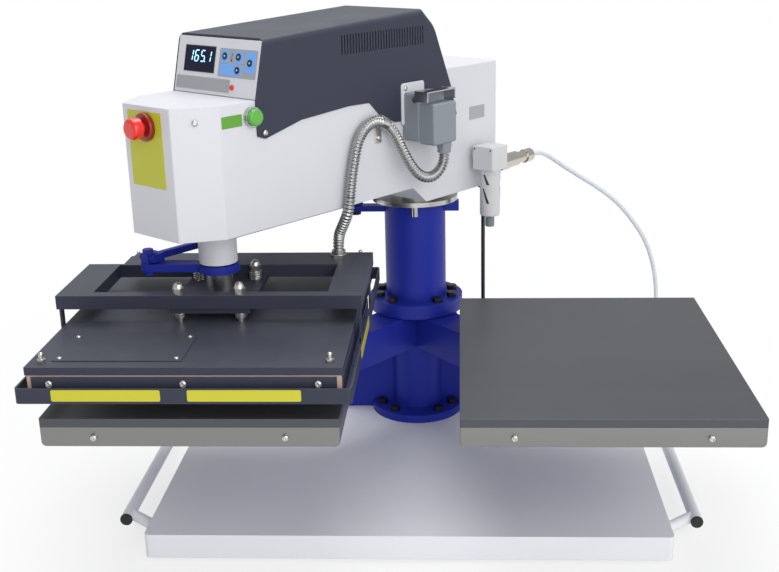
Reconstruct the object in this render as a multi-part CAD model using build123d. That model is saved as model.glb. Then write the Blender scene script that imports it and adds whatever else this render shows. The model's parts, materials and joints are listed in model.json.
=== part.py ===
from build123d import *
import math
import os

# Pneumatic swing-head heat press with two lower platens, all sizes in millimetres
# The origin is on the table, under the axis of the swing column, +Z is up and +Y points to the back

# Lower platens
PLATEN_WIDTH = 400.0
PLATEN_DEPTH = 500.0
PLATEN_GAP = 158.0
PLATEN_FRONT = 605.0
PAD_TOP = 288.0
PAD_THICKNESS = 12.5
APRON_HEIGHT = 28.0
APRON_CORNER = 7.0
APRON_SCREW_INSET = 72.0
APRON_SCREW_R = 4.5

# Base box, its feet and its two carrying rails
BASE_WIDTH = 786.0
BASE_FRONT = 481.0
BASE_BACK = 215.0
BASE_HEIGHT = 38.0
BASE_SHEET = 3.0
BASE_CORNER = 8.0
FOOT_HEIGHT = 5.0
FOOT_R = 20.0
MIDDLE_FOOT_R = 45.0
FOOT_INSET = 45.0
RAIL_OD = 19.0
RAIL_WALL = 2.0
RAIL_STANDOFF = 46.0
RAIL_FRONT = 411.0
RAIL_BACK = 145.0
RAIL_HEIGHT = 30.0
RAIL_LEG_DROP = 9.0
RAIL_LEG_INSET = 20.0
RAIL_CAP = 4.0

# Column
PIPE_OD = 89.0
PIPE_WALL = 6.0
TUBE_OD = 108.0
TUBE_WALL = 6.0
FLANGE_OD = 167.0
FLANGE_THICKNESS = 12.0
FOOT_FLANGE_THICKNESS = 14.0
FLANGE_TOP = 265.0
TUBE_TOP = 437.0
TUBE_CAP = 12.0
BOLT_CIRCLE = 135.0
BOLT_COUNT = 8
BOLT_HEAD_R = 9.0
BOLT_HEAD_HEIGHT = 8.0
GUSSET_THICKNESS = 10.0
GUSSET_REACH = 150.0
GUSSET_TOP_REACH = 66.0
ARM_WIDTH = 60.0
ARM_HEIGHT = 62.0
ARM_WALL = 5.0
ARM_PLATE = 200.0

# Swing bearing between the column and the head
SPINDLE_R = 30.0
SPINDLE_TOP = 575.0
HUB_R = 43.0
HUB_TOP = 560.0
HUB_FLANGE_R = 76.0
HUB_FLANGE_THICKNESS = 8.0
WASHER_THICKNESS = 4.0
WASHER_R = 48.0
RUNNING_FIT = 0.04
STOP_PIN_R = 5.0
STOP_PIN_CIRCLE = 68.0
STOP_LUG_WIDTH = 16.0
STOP_LUG_REACH = 78.0
STOP_GAP = 0.4

# Parallel link that keeps the heater square to the platens while the head swings
LINK_OFFSET = 105.0
LINK_Z = 436.0
LINK_WIDTH = 10.0
LINK_HEIGHT = 10.0
LINK_EYE_R = 13.0
LINK_EYE_CLEARANCE = 2.2
ANCHOR_R = 5.0
ANCHOR_ARM_WIDTH = 22.0
ANCHOR_ARM_THICKNESS = 10.0
ELBOW_BLOCK = 16.0
ELBOW_PIN_R = 3.0
ELBOW_STUD_R = 5.0
FORK_EAR = 4.0
ROD_ARM_WIDTH = 24.0
ROD_ARM_THICKNESS = 12.0
ROD_ARM_TOP = 429.0
CLAMP_R = 31.0

# Press cylinder and rod
STROKE = 34.0
ROD_R = 16.0
BUSH_R = 24.0
BUSH_FLANGE_R = 30.0
CYLINDER_R = 48.0
BORE_R = 40.0
CYLINDER_END = 14.0
CYLINDER_TOP = 640.0
PISTON_Z = 560.0
PISTON_THICKNESS = 20.0
ROD_COVER_R = 28.5
ROD_COVER_WALL = 3.0
ROD_COVER_BOTTOM = 431.0
SOCKET_R = 20.0

# Heater
PLATE_THICKNESS = 12.0
CASE_OVERHANG = 8.0
INSULATION_HEIGHT = 19.0
COVER_LIP = 11.0
COVER_SHEET = 2.0
PANEL_SHEET = 2.0
PANEL_CORNER = 8.0
GUARD_GAP = 12.0
GUARD_HEIGHT = 21.0
GUARD_SHEET = 2.5
GUARD_DROP = 4.0
GUARD_CORNER = 6.0
FRAME_TOP = 405.0
FRAME_HEIGHT = 20.0
FRAME_SHEET = 3.0
FRAME_FRONT = 442.0
FRAME_BACK = 222.0
FRAME_FRONT_BAR = 18.0
FRAME_SIDE_BAR = 50.0
FRAME_BACK_BAR = 60.0
SADDLE_THICKNESS = 8.0
SADDLE_WIDTH = 116.0
STUD_SPACING = 88.0
STUD_BACK = 300.0
STUD_R = 5.0
STUD_HEAD_R = 8.0
LEG_WIDTH = 12.0
LEG_SHEET = 3.0
LEG_FRONT = 432.0
LEG_BACK = 262.0
COVER_STUD_INSET = 18.0

# Head housing
HEAD_HALF_WIDTH = 88.0
HEAD_FRONT = 560.0
HEAD_FACE_HALF = 51.0
HEAD_CHAMFER_DEPTH = 55.0
HEAD_REAR = 130.0
HEAD_BOTTOM_FRONT = 490.0
HEAD_BOTTOM_REAR = 461.0
HEAD_STEP_FRONT = 107.0
HEAD_STEP_REAR = 73.0
HEAD_HEIGHT = 185.0
HEAD_SHEET = 3.0
HOOD_SHEET = 2.5
HOOD_RISE_FRONT = 83.0
HOOD_RISE_REAR = 100.0
HOOD_RADIUS = 10.0
VENT_COUNT = 31
VENT_PITCH = 6.2
VENT_WIDTH = 2.8
VENT_FRONT = 267.0
VENT_HEIGHT = 29.0
VENT_DROP = 25.0

# Controls
PANEL_LEAN = 20.0
PANEL_THICKNESS = 3.0
WINDOW_WIDTH = 64.0
WINDOW_HEIGHT = 35.0
WINDOW_X = -38.0
KEY_R = 5.0
KEY_TRAVEL = 0.8
ESTOP_DROP = 28.0
ESTOP_COLLAR_R = 19.5
ESTOP_HEAD_R = 15.0
ESTOP_TRAVEL = 5.0
START_Y = -449.0
START_DROP = 21.0
START_R = 12.0
START_BEZEL_R = 14.0
START_TRAVEL = 3.0
LAMP_R = 4.0

# Services
CONDUIT_R = 9.0
HOSE_R = 4.0
MAINS_R = 3.5
HOSE_LENGTH = 2000.0
MAINS_LENGTH = 2000.0
FILTER_X = 121.0
FILTER_Y = 60.0
FILTER_BLOCK = 44.0
BOWL_R = 17.5


# Small fixings and details
ARM_PLATE_THICKNESS = 8.0
PLATEN_CORNER = 2.0
SCREW_HEAD = 2.5
DRAIN_HOLE_R = 15.0
BOLT_R = 5.5
BOLT_CLEARANCE = 0.3
NUT_ROOM = 10.0
GUSSET_NOSE = 17.0
RAIL_LEG_R = 8.5
RAIL_LEG_SPREAD = 21.0
ANCHOR_NUT = 7.0
ANCHOR_HEAD_R = 9.0
STOP_PIN_DROP = 13.0
HEAD_REAR_CHAMFER = 10.0
HEAD_EDGE_R = 3.0
HOOD_FRONT = 440.0
HOOD_REAR_TOP = 76.0
HOOD_STEP_REAR = 150.0
HOOD_STEP_DROP = 32.0
HOOD_REAR_DROP = 78.0
HOOD_EAR_DROP = 55.0
WIRE_SLOT = 30.0
WINDOW_Z = 50.0
KEYS = [(16.0, 57.0), (45.0, 57.0), (45.0, 38.5), (69.5, 50.0)]
KEY_CLEARANCE = 0.1
LAMP_X = 38.0
LAMP_Z = 14.0
LAMP_PROUD = 2.0
ESTOP_COLLAR = 8.0
ESTOP_STEM_R = 8.0
ESTOP_BARREL = 14.0
ESTOP_BARREL_R = 11.0
ESTOP_PIVOT_R = 4.0
ESTOP_HEAD = 15.0
ESTOP_SPARE = 2.0
START_BEZEL = 7.0
START_BARREL = 16.0
START_BARREL_R = 13.0
START_SPARE = 4.5
BEZEL_CLEARANCE = 0.5
BUSH_FLANGE = 4.0
ELBOW_LIFT = 0.3
ELBOW_NUT = 6.0
ELBOW_NUT_R = 8.0
ELBOW_SIDE = 0.3
ELBOW_WASHER_R = 5.0
EAR_R = 6.0
MAINS_X = 76.0
MAINS_Y = 100.0
GLAND_R = 8.0
PANEL_LIFT = 2.0
PANEL_SHOW = 2.5
PANEL_SCREW_SPACING = 176.0
PANEL_SCREW_Z = 342.0
FRAME_NOTCH = 59.0
FRAME_LAP = 6.0
SADDLE_INSET = 4.0
STUD_FRONT = 432.0
STUD_WASHER = 2.0
STUD_SPRING = 16.0
STUD_NUT = 7.0
COVER_STUD_R = 3.0
COVER_STUD_HEIGHT = 12.0
COVER_NUT = 5.0
COVER_NUT_R = 6.0
FILTER_EDGE = 3.0
HEAD_SCREW_R = 4.0
CORNER_SCREW_DROP = 20.0
CLIP_CORD_X = 99.0
CLIP_CORD_Z = 604.0
CLIP_REACH = 26.0
CLIP_FOOT = 4.0

# Connector on the head's right side, with its conduit down to the heater
CONNECTOR_FRONT = 130.0
CONNECTOR_LENGTH = 66.0
CONNECTOR_BASE_DEPTH = 30.0
CONNECTOR_HOOD_DEPTH = 30.0
CONNECTOR_HOOD_INSET = 4.5
CONNECTOR_BASE_BOTTOM = 573.0
CONNECTOR_BASE_TOP = 652.0
CONNECTOR_HOOD_BOTTOM = 569.0
CONNECTOR_HOOD_TOP = 635.0
CONNECTOR_WALL = 3.0
CONNECTOR_EDGE = 4.0
LEVER_SHEET = 2.0
LEVER_PIN_R = 3.0
LEVER_EYE_R = 5.0
LEVER_START = 10.0
LEVER_END = 8.0
CONDUIT_GLAND_LENGTH = 17.0
CONDUIT_GLAND_R = 13.0
FRAME_GLAND_X = 168.0
FRAME_GLAND_Y = 105.0
FRAME_GLAND_HEIGHT = 12.0
CLIP_Y = -190.0
CLIP_WIDTH = 14.0
CLIP_SHEET = 1.6

# Filter unit behind the connector and the cords that leave the head
FILTER_Z = 519.0
FILTER_DEPTH = 40.0
FILTER_PORT_R = 9.0
BOWL_TOP = 499.0
BOWL_BOTTOM = 416.0
BOWL_COLLAR = 8.0
DRAIN_R = 8.0
DRAIN_HEIGHT = 20.0
DRAIN_STEM_R = 4.0
DRAIN_GAP = 0.3
FITTING_Z = 504.0
FITTINGS = [(23.0, 15.0), (30.0, 13.0), (25.0, 10.0), (18.0, 12.0), (8.0, 6.0)]
MAINS_GLAND_HEX = 8.0
MAINS_GLAND_LENGTH = 26.0
MAINS_STRAIGHT_Z = 140.0
COIL_EDGE = 2.0
COIL_ACROSS = 3
COIL_TAIL = 42.0
HOSE_COIL_R = 44.0
HOSE_COIL_AT = (526.0, 262.0)
HOSE_LEAD = 22.0
MAINS_COIL_R = 38.5
MAINS_COIL_AT = (260.0, 110.0)
NIPPLE_LENGTH = 30.0
NIPPLE_NECK = 9.0
NIPPLE_R = 7.0
NECK_EASE = 0.4
PLUG_LENGTH = 42.0
PLUG_NECK = 18.0
PLUG_R = 17.0
PLUG_PIN_R = 2.4
PLUG_PIN_LENGTH = 19.0
PLUG_PIN_SPACING = 19.0

# Places worked out from the driving sizes
STATION_X = (PLATEN_WIDTH + PLATEN_GAP) / 2
STATION_Y = PLATEN_DEPTH / 2 - PLATEN_FRONT
REACH = math.hypot(STATION_X, STATION_Y)
SWING_HALF = math.degrees(math.atan2(STATION_X, -STATION_Y))
BASE_TOP = FOOT_HEIGHT + BASE_HEIGHT
PAD_BOTTOM = PAD_TOP - PAD_THICKNESS
APRON_BOTTOM = PAD_BOTTOM - APRON_HEIGHT
ARM_TOP = APRON_BOTTOM - ARM_PLATE_THICKNESS
LOWER_FLANGE_TOP = FLANGE_TOP - FLANGE_THICKNESS
LOWER_FLANGE_BOTTOM = LOWER_FLANGE_TOP - FLANGE_THICKNESS
PLATE_BOTTOM = PAD_TOP + STROKE
INSULATION_BOTTOM = PLATE_BOTTOM + PLATE_THICKNESS
COVER_BOTTOM = INSULATION_BOTTOM + INSULATION_HEIGHT
COVER_TOP = COVER_BOTTOM + COVER_LIP
FRAME_BOTTOM = FRAME_TOP - FRAME_HEIGHT
GUARD_BOTTOM = PLATE_BOTTOM - GUARD_DROP
GUARD_TOP = GUARD_BOTTOM + GUARD_HEIGHT
CASE_X = PLATEN_WIDTH / 2 + CASE_OVERHANG
CASE_Y = PLATEN_DEPTH / 2 + CASE_OVERHANG
GUARD_X = CASE_X + GUARD_GAP
GUARD_Y = CASE_Y + GUARD_GAP
ANCHOR_ARM_TOP = LINK_Z - LINK_HEIGHT / 2 - LINK_EYE_CLEARANCE
ROD_ARM_BOTTOM = ROD_ARM_TOP - ROD_ARM_THICKNESS
HUB_BOTTOM = TUBE_TOP + WASHER_THICKNESS
HEAD_TOP = HEAD_BOTTOM_FRONT + HEAD_HEIGHT
HOOD_TOP_FRONT = HEAD_TOP + HOOD_RISE_FRONT
HOOD_TOP_REAR = HEAD_TOP + HOOD_RISE_REAR
HOOD_STEP_Z = HEAD_TOP - HOOD_STEP_DROP
HOOD_REAR_BOTTOM = HEAD_TOP - HOOD_REAR_DROP
HOOD_EAR_BOTTOM = HEAD_TOP - HOOD_EAR_DROP
VENT_TOP = HOOD_TOP_REAR - VENT_DROP
VENT_BOTTOM = VENT_TOP - VENT_HEIGHT
ESTOP_Z = HEAD_TOP - ESTOP_DROP
START_Z = HEAD_TOP - START_DROP
CORNER_SCREW_Z = HEAD_TOP - CORNER_SCREW_DROP
BOLT_ANGLES = [side * 36.0 * k for side in (-1, 1) for k in range(1, BOLT_COUNT // 2 + 1)]
KEY_PROUD = 2 * KEY_TRAVEL
START_PROUD = START_TRAVEL + START_SPARE


def box(x0, x1, y0, y1, z0, z1):
    """A block between two corners."""
    corner = (Align.MIN, Align.MIN, Align.MIN)
    return Pos(x0, y0, z0) * Box(x1 - x0, y1 - y0, z1 - z0, align=corner)


def disc(x, y, z0, z1, r):
    """An upright round bar."""
    return Pos(x, y, z0) * Cylinder(r, z1 - z0, align=(Align.CENTER, Align.CENTER, Align.MIN))


def ring(x, y, z0, z1, r_out, r_in):
    """An upright round tube."""
    return disc(x, y, z0, z1, r_out) - disc(x, y, z0 - 1, z1 + 1, r_in)


def bar(start, end, r):
    """A round bar between two points."""
    a, b = Vector(*start), Vector(*end)
    base = Plane(origin=a, z_dir=(b - a).normalized())
    return base * Cylinder(r, (b - a).length, align=(Align.CENTER, Align.CENTER, Align.MIN))


def pipe(start, end, r_out, r_in):
    """A round tube between two points."""
    a, b = Vector(*start), Vector(*end)
    along = (b - a).normalized()
    return bar(start, end, r_out) - bar(a - along, b + along, r_in)


def plate(points, z0, z1):
    """A flat plate cut to an outline seen from above."""
    face = make_face(Polyline(*points, close=True))
    return Pos(0, 0, z0) * extrude(face, z1 - z0)


def side_plate(points, x0, x1):
    """A flat plate cut to an outline seen from the side."""
    face = Plane.YZ * make_face(Polyline(*points, close=True))
    return Pos(x0, 0, 0) * extrude(face, x1 - x0)


def hexagon(x, y, z0, z1, r):
    """A hexagonal bolt head or nut."""
    return Pos(x, y, z0) * extrude(RegularPolygon(r, 6), z1 - z0)


def join(shapes):
    """Fuse a list of shapes into one."""
    total = shapes[0]
    for shape in shapes[1:]:
        total = total + shape
    return total


def save(name, *shapes):
    """Write one sub-part, a single solid or a group of separate ones."""
    solids = [solid for shape in shapes for solid in shape.solids()]
    part = solids[0] if len(solids) == 1 else Compound(children=solids)
    export_step(part, f"parts/{name}.step")


def in_head(shape):
    """Turn a shape from the head's own axes to its place over the left platen."""
    return Rot(0, 0, -SWING_HALF) * shape


def head_point(x, y, z):
    """Turn a point from the head's own axes to its place over the left platen."""
    turn = math.radians(-SWING_HALF)
    return (x * math.cos(turn) - y * math.sin(turn), x * math.sin(turn) + y * math.cos(turn), z)


def at_station(shape, side=-1):
    """Move a shape drawn about the press axis to the left or right station."""
    return Pos(side * STATION_X, STATION_Y, 0) * shape


def on_circle(radius, angle):
    """A point on a circle about the column, with the angle counted from the front."""
    return radius * math.sin(math.radians(angle)), -radius * math.cos(math.radians(angle))


# Base
def make_base():
    outer = box(-BASE_WIDTH / 2, BASE_WIDTH / 2, -BASE_FRONT, BASE_BACK, FOOT_HEIGHT, BASE_TOP)
    outer = fillet(outer.edges().filter_by(Axis.Z), BASE_CORNER)
    inside = BASE_WIDTH / 2 - BASE_SHEET
    tray = outer - box(
        -inside, inside, -BASE_FRONT + BASE_SHEET, BASE_BACK - BASE_SHEET,
        FOOT_HEIGHT + BASE_SHEET, BASE_TOP - BASE_SHEET,
    )
    middle = (BASE_BACK - BASE_FRONT) / 2
    for x in (-BASE_WIDTH / 4, BASE_WIDTH / 4):
        tray -= disc(x, middle, 0, FOOT_HEIGHT + BASE_SHEET + 1, DRAIN_HOLE_R)
    for angle in BOLT_ANGLES:
        x, y = on_circle(BOLT_CIRCLE / 2, angle)
        tray -= disc(x, y, BASE_TOP - BASE_SHEET - 1, BASE_TOP + 1, BOLT_R + BOLT_CLEARANCE)
    save("base_tray", tray)
    feet = [disc(0, 0, 0, FOOT_HEIGHT, MIDDLE_FOOT_R)]
    for x in (-BASE_WIDTH / 2 + FOOT_INSET, BASE_WIDTH / 2 - FOOT_INSET):
        for y in (-BASE_FRONT + FOOT_INSET, BASE_BACK - FOOT_INSET):
            feet.append(disc(x, y, 0, FOOT_HEIGHT, FOOT_R))
    save("base_feet", *feet)


def make_rail(side):
    """One carrying rail with its two slanting legs, and its two end plugs."""
    wall_x = side * BASE_WIDTH / 2
    rail_x = wall_x + side * RAIL_STANDOFF
    front, back = (rail_x, -RAIL_FRONT, RAIL_HEIGHT), (rail_x, RAIL_BACK, RAIL_HEIGHT)
    rail = pipe(front, back, RAIL_OD / 2, RAIL_OD / 2 - RAIL_WALL)
    for end, outward in ((-RAIL_FRONT, -1), (RAIL_BACK, 1)):
        foot = (wall_x - side * RAIL_OD, end + outward * RAIL_LEG_SPREAD, RAIL_HEIGHT - RAIL_LEG_DROP)
        top = (rail_x, end - outward * RAIL_LEG_INSET, RAIL_HEIGHT)
        leg = bar(foot, top, RAIL_LEG_R)
        leg -= bar(front, back, RAIL_OD / 2 - RAIL_WALL / 2)
        leg -= box(-BASE_WIDTH / 2, BASE_WIDTH / 2, -BASE_FRONT, BASE_BACK, 0, BASE_TOP)
        rail += max(leg.solids(), key=lambda solid: solid.volume)
    caps = []
    for end, outward in ((-RAIL_FRONT, -1), (RAIL_BACK, 1)):
        cap = bar((rail_x, end, RAIL_HEIGHT), (rail_x, end + outward * RAIL_CAP, RAIL_HEIGHT), RAIL_OD / 2)
        cap = fillet(cap.faces().sort_by(Axis.Y)[-1 if outward > 0 else 0].edges(), RAIL_CAP / 2)
        caps.append(cap)
    return rail, caps


def make_rails():
    rails = []
    caps = []
    for side in (-1, 1):
        rail, rail_caps = make_rail(side)
        rails.append(rail)
        caps.extend(rail_caps)
    save("side_rails", *rails)
    save("rail_end_caps", *caps)


# Column
def make_arm(side):
    """A box beam from the column's pipe to the middle of one lower platen."""
    end = REACH + ARM_PLATE / 2
    half = ARM_WIDTH / 2
    beam = box(-half, half, -end, 0, ARM_TOP - ARM_HEIGHT, ARM_TOP)
    beam -= box(
        -half + ARM_WALL, half - ARM_WALL, -end - 1, 1, ARM_TOP - ARM_HEIGHT + ARM_WALL, ARM_TOP - ARM_WALL
    )
    beam = Rot(0, 0, side * SWING_HALF) * beam
    beam -= disc(0, 0, 0, ARM_TOP + 1, PIPE_OD / 2 - PIPE_WALL / 2)
    pad = ARM_PLATE / 2
    return beam + at_station(box(-pad, pad, -pad, pad, ARM_TOP, APRON_BOTTOM), side)


def make_column():
    foot = ring(0, 0, BASE_TOP, LOWER_FLANGE_TOP, PIPE_OD / 2, PIPE_OD / 2 - PIPE_WALL)
    foot += ring(0, 0, BASE_TOP, BASE_TOP + FOOT_FLANGE_THICKNESS, FLANGE_OD / 2, PIPE_OD / 2 - PIPE_WALL)
    foot += ring(0, 0, LOWER_FLANGE_BOTTOM, LOWER_FLANGE_TOP, FLANGE_OD / 2, PIPE_OD / 2 - PIPE_WALL)
    inner = PIPE_OD / 2 - PIPE_WALL / 2
    for side in (-1, 1):
        gusset = [
            (side * inner, BASE_TOP),
            (side * GUSSET_REACH, BASE_TOP),
            (side * GUSSET_REACH, BASE_TOP + GUSSET_NOSE),
            (side * GUSSET_TOP_REACH, LOWER_FLANGE_BOTTOM),
            (side * inner, LOWER_FLANGE_BOTTOM),
        ]
        face = Plane.XZ * make_face(Polyline(*gusset, close=True))
        foot += Pos(0, GUSSET_THICKNESS / 2, 0) * extrude(face, GUSSET_THICKNESS)
        foot += make_arm(side)
    tube = ring(0, 0, LOWER_FLANGE_TOP, FLANGE_TOP, FLANGE_OD / 2, TUBE_OD / 2 - TUBE_WALL)
    tube += ring(0, 0, FLANGE_TOP, TUBE_TOP, TUBE_OD / 2, TUBE_OD / 2 - TUBE_WALL)
    tube += disc(0, 0, TUBE_TOP - TUBE_CAP, TUBE_TOP, TUBE_OD / 2)
    half = ANCHOR_ARM_WIDTH / 2
    arm_bottom = ANCHOR_ARM_TOP - ANCHOR_ARM_THICKNESS
    wall = TUBE_OD / 2 - TUBE_WALL / 2
    tube += box(-LINK_OFFSET, -wall, -half, half, arm_bottom, ANCHOR_ARM_TOP)
    tube += disc(-LINK_OFFSET, 0, arm_bottom, ANCHOR_ARM_TOP, half)
    tube -= disc(-LINK_OFFSET, 0, arm_bottom - 1, ANCHOR_ARM_TOP + 1, ANCHOR_R)
    lug_half = STOP_LUG_WIDTH / 2
    tube += box(wall, STOP_LUG_REACH, -lug_half, lug_half, arm_bottom, TUBE_TOP)
    bolts = []
    for angle in BOLT_ANGLES:
        x, y = on_circle(BOLT_CIRCLE / 2, angle)
        hole_r = BOLT_R + BOLT_CLEARANCE
        foot -= disc(x, y, BASE_TOP - 1, BASE_TOP + FOOT_FLANGE_THICKNESS + BOLT_HEAD_HEIGHT, hole_r)
        foot -= disc(x, y, LOWER_FLANGE_BOTTOM - NUT_ROOM, LOWER_FLANGE_TOP + 1, hole_r)
        tube -= disc(x, y, LOWER_FLANGE_TOP - 1, FLANGE_TOP + 1, hole_r)
        seat = BASE_TOP + FOOT_FLANGE_THICKNESS
        bolts.append(
            hexagon(x, y, seat, seat + BOLT_HEAD_HEIGHT, BOLT_HEAD_R)
            + disc(x, y, BASE_TOP - BASE_SHEET, seat, BOLT_R)
        )
        bolts.append(
            hexagon(x, y, FLANGE_TOP, FLANGE_TOP + BOLT_HEAD_HEIGHT, BOLT_HEAD_R)
            + disc(x, y, LOWER_FLANGE_BOTTOM, FLANGE_TOP, BOLT_R)
        )
    save("column_foot", foot)
    save("column_tube", tube)
    return bolts


def make_anchor_bolt():
    """The bolt at the column end of the parallel link, with its spacer and nut."""
    x = -LINK_OFFSET
    arm_bottom = ANCHOR_ARM_TOP - ANCHOR_ARM_THICKNESS
    eye_top = LINK_Z + LINK_HEIGHT / 2
    nut_z = eye_top + LINK_EYE_CLEARANCE
    bolt = disc(x, 0, arm_bottom, nut_z + ANCHOR_NUT, ANCHOR_R)
    bolt += hexagon(x, 0, arm_bottom - ANCHOR_NUT, arm_bottom, ANCHOR_HEAD_R)
    bolt += hexagon(x, 0, nut_z, nut_z + ANCHOR_NUT, ANCHOR_HEAD_R)
    save("anchor_bolt", bolt)


def make_platens():
    half_x, half_y = PLATEN_WIDTH / 2, PLATEN_DEPTH / 2
    screws = []
    for side, name in ((-1, "left"), (1, "right")):
        body = box(-half_x, half_x, -half_y, half_y, APRON_BOTTOM, PAD_BOTTOM)
        lower = body.faces().sort_by(Axis.Z)[0].edges().filter_by(Axis.Y)
        body = fillet(lower, APRON_CORNER)
        body = fillet(body.edges().filter_by(Axis.Z), PLATEN_CORNER)
        save(f"platen_{name}", at_station(body, side))
        pad = box(-half_x, half_x, -half_y, half_y, PAD_BOTTOM, PAD_TOP)
        pad = fillet(pad.edges().filter_by(Axis.Z), PLATEN_CORNER)
        save(f"platen_pad_{name}", at_station(pad, side))
        for x in (-half_x + APRON_SCREW_INSET, half_x - APRON_SCREW_INSET):
            z = (APRON_BOTTOM + PAD_BOTTOM) / 2
            screw = bar((x, -half_y, z), (x, -half_y - SCREW_HEAD, z), APRON_SCREW_R)
            screws.append(at_station(screw, side))
    return screws


# Swing bearing
def make_swing_bearing():
    spindle = disc(0, 0, TUBE_TOP, SPINDLE_TOP, SPINDLE_R)
    spindle += disc(0, 0, TUBE_TOP, HUB_BOTTOM, WASHER_R)
    spindle += disc(0, 0, HUB_TOP, HUB_TOP + WASHER_THICKNESS, WASHER_R - WASHER_THICKNESS)
    save("swing_spindle", spindle)
    hub = disc(0, 0, HUB_BOTTOM, HUB_TOP, HUB_R)
    hub += disc(0, 0, HUB_BOTTOM, HUB_BOTTOM + HUB_FLANGE_THICKNESS, HUB_FLANGE_R)
    pin_angle = math.asin((STOP_LUG_WIDTH / 2 + STOP_PIN_R + STOP_GAP) / STOP_PIN_CIRCLE)
    for angle in (pin_angle, -pin_angle - math.radians(2 * SWING_HALF)):
        x, y = STOP_PIN_CIRCLE * math.cos(angle), STOP_PIN_CIRCLE * math.sin(angle)
        hub += disc(x, y, TUBE_TOP - STOP_PIN_DROP, HUB_BOTTOM + 1, STOP_PIN_R)
    hub -= disc(0, 0, HUB_BOTTOM - 1, HUB_TOP + 1, SPINDLE_R + RUNNING_FIT)
    save("swing_hub", hub)


# Head housing
def head_plan(inset=0.0):
    """The head's outline from above, with cut-off corners in front."""
    w, f, c = HEAD_HALF_WIDTH, HEAD_FRONT, HEAD_FACE_HALF
    k = HEAD_REAR_CHAMFER
    points = [
        (-c, -f), (c, -f), (w, -f + HEAD_CHAMFER_DEPTH), (w, HEAD_REAR - k), (w - k, HEAD_REAR),
        (-w + k, HEAD_REAR), (-w, HEAD_REAR - k), (-w, -f + HEAD_CHAMFER_DEPTH),
    ]
    face = make_face(Polyline(*points, close=True))
    return offset(face, -inset) if inset else face


def head_profile(inset=0.0):
    """The head's outline from the side, deeper round the column."""
    points = [
        (-HEAD_FRONT - 1, HEAD_BOTTOM_FRONT + inset),
        (-HEAD_STEP_FRONT, HEAD_BOTTOM_FRONT + inset),
        (-HEAD_STEP_REAR, HEAD_BOTTOM_REAR + inset),
        (HEAD_REAR + 1, HEAD_BOTTOM_REAR + inset),
        (HEAD_REAR + 1, HEAD_TOP - inset),
        (-HEAD_FRONT - 1, HEAD_TOP - inset),
    ]
    return points


def make_head_shell():
    outer = Pos(0, 0, 0) * extrude(head_plan(), HEAD_TOP + 1)
    outer &= side_plate(head_profile(), -HEAD_HALF_WIDTH - 1, HEAD_HALF_WIDTH + 1)
    outer = fillet(outer.edges().filter_by(Axis.Z).group_by(Axis.Y)[0], HEAD_EDGE_R)
    inner = extrude(head_plan(HEAD_SHEET), HEAD_TOP + 1)
    inner &= side_plate(head_profile(HEAD_SHEET), -HEAD_HALF_WIDTH - 1, HEAD_HALF_WIDTH + 1)
    shell = outer - inner
    floor_z = HEAD_BOTTOM_REAR
    shell -= disc(0, 0, floor_z - 1, floor_z + HEAD_SHEET + 1, HUB_R)
    shell -= disc(0, -REACH, HEAD_BOTTOM_FRONT - 1, HEAD_BOTTOM_FRONT + HEAD_SHEET + 1, ROD_COVER_R)
    shell -= bar((0, -HEAD_FRONT - 1, ESTOP_Z), (0, -HEAD_FRONT + HEAD_SHEET + 1, ESTOP_Z), ESTOP_BARREL_R)
    wall = HEAD_HALF_WIDTH
    shell -= bar((wall - HEAD_SHEET - 1, START_Y, START_Z), (wall + 1, START_Y, START_Z), START_BARREL_R)
    shell -= disc(MAINS_X, MAINS_Y, floor_z - 1, floor_z + HEAD_SHEET + 1, GLAND_R)
    slot_front, slot_back = -REACH + CYLINDER_R, -REACH + 2 * CYLINDER_R
    shell -= box(-WIRE_SLOT, WIRE_SLOT, slot_front, slot_back, HEAD_TOP - HEAD_SHEET - 1, HEAD_TOP + 1)
    save("head_shell", in_head(shell))


def hood_outline():
    """The hood's outline from the side: two ears in front, a step behind the middle, a slanting back."""
    front = HOOD_FRONT
    return [
        (-front + PANEL_LEAN, HOOD_TOP_FRONT),
        (-HOOD_REAR_TOP, HOOD_TOP_REAR),
        (-HOOD_REAR_TOP + 20, HOOD_TOP_REAR - 18),
        (-9.0, HOOD_STEP_Z + 5),
        (7.0, HOOD_REAR_BOTTOM),
        (-HOOD_STEP_REAR, HOOD_REAR_BOTTOM + 8),
        (-HOOD_STEP_REAR - 35, HOOD_REAR_BOTTOM + 24),
        (-HOOD_STEP_REAR - 58, HOOD_STEP_Z),
        (-HOOD_STEP_REAR - 105, HOOD_STEP_Z + 1),
        (-front + 85, HOOD_STEP_Z - 6),
        (-front + 14, HOOD_EAR_BOTTOM),
        (-front, HOOD_EAR_BOTTOM + 5),
        (-front, HEAD_TOP),
    ]


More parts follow.
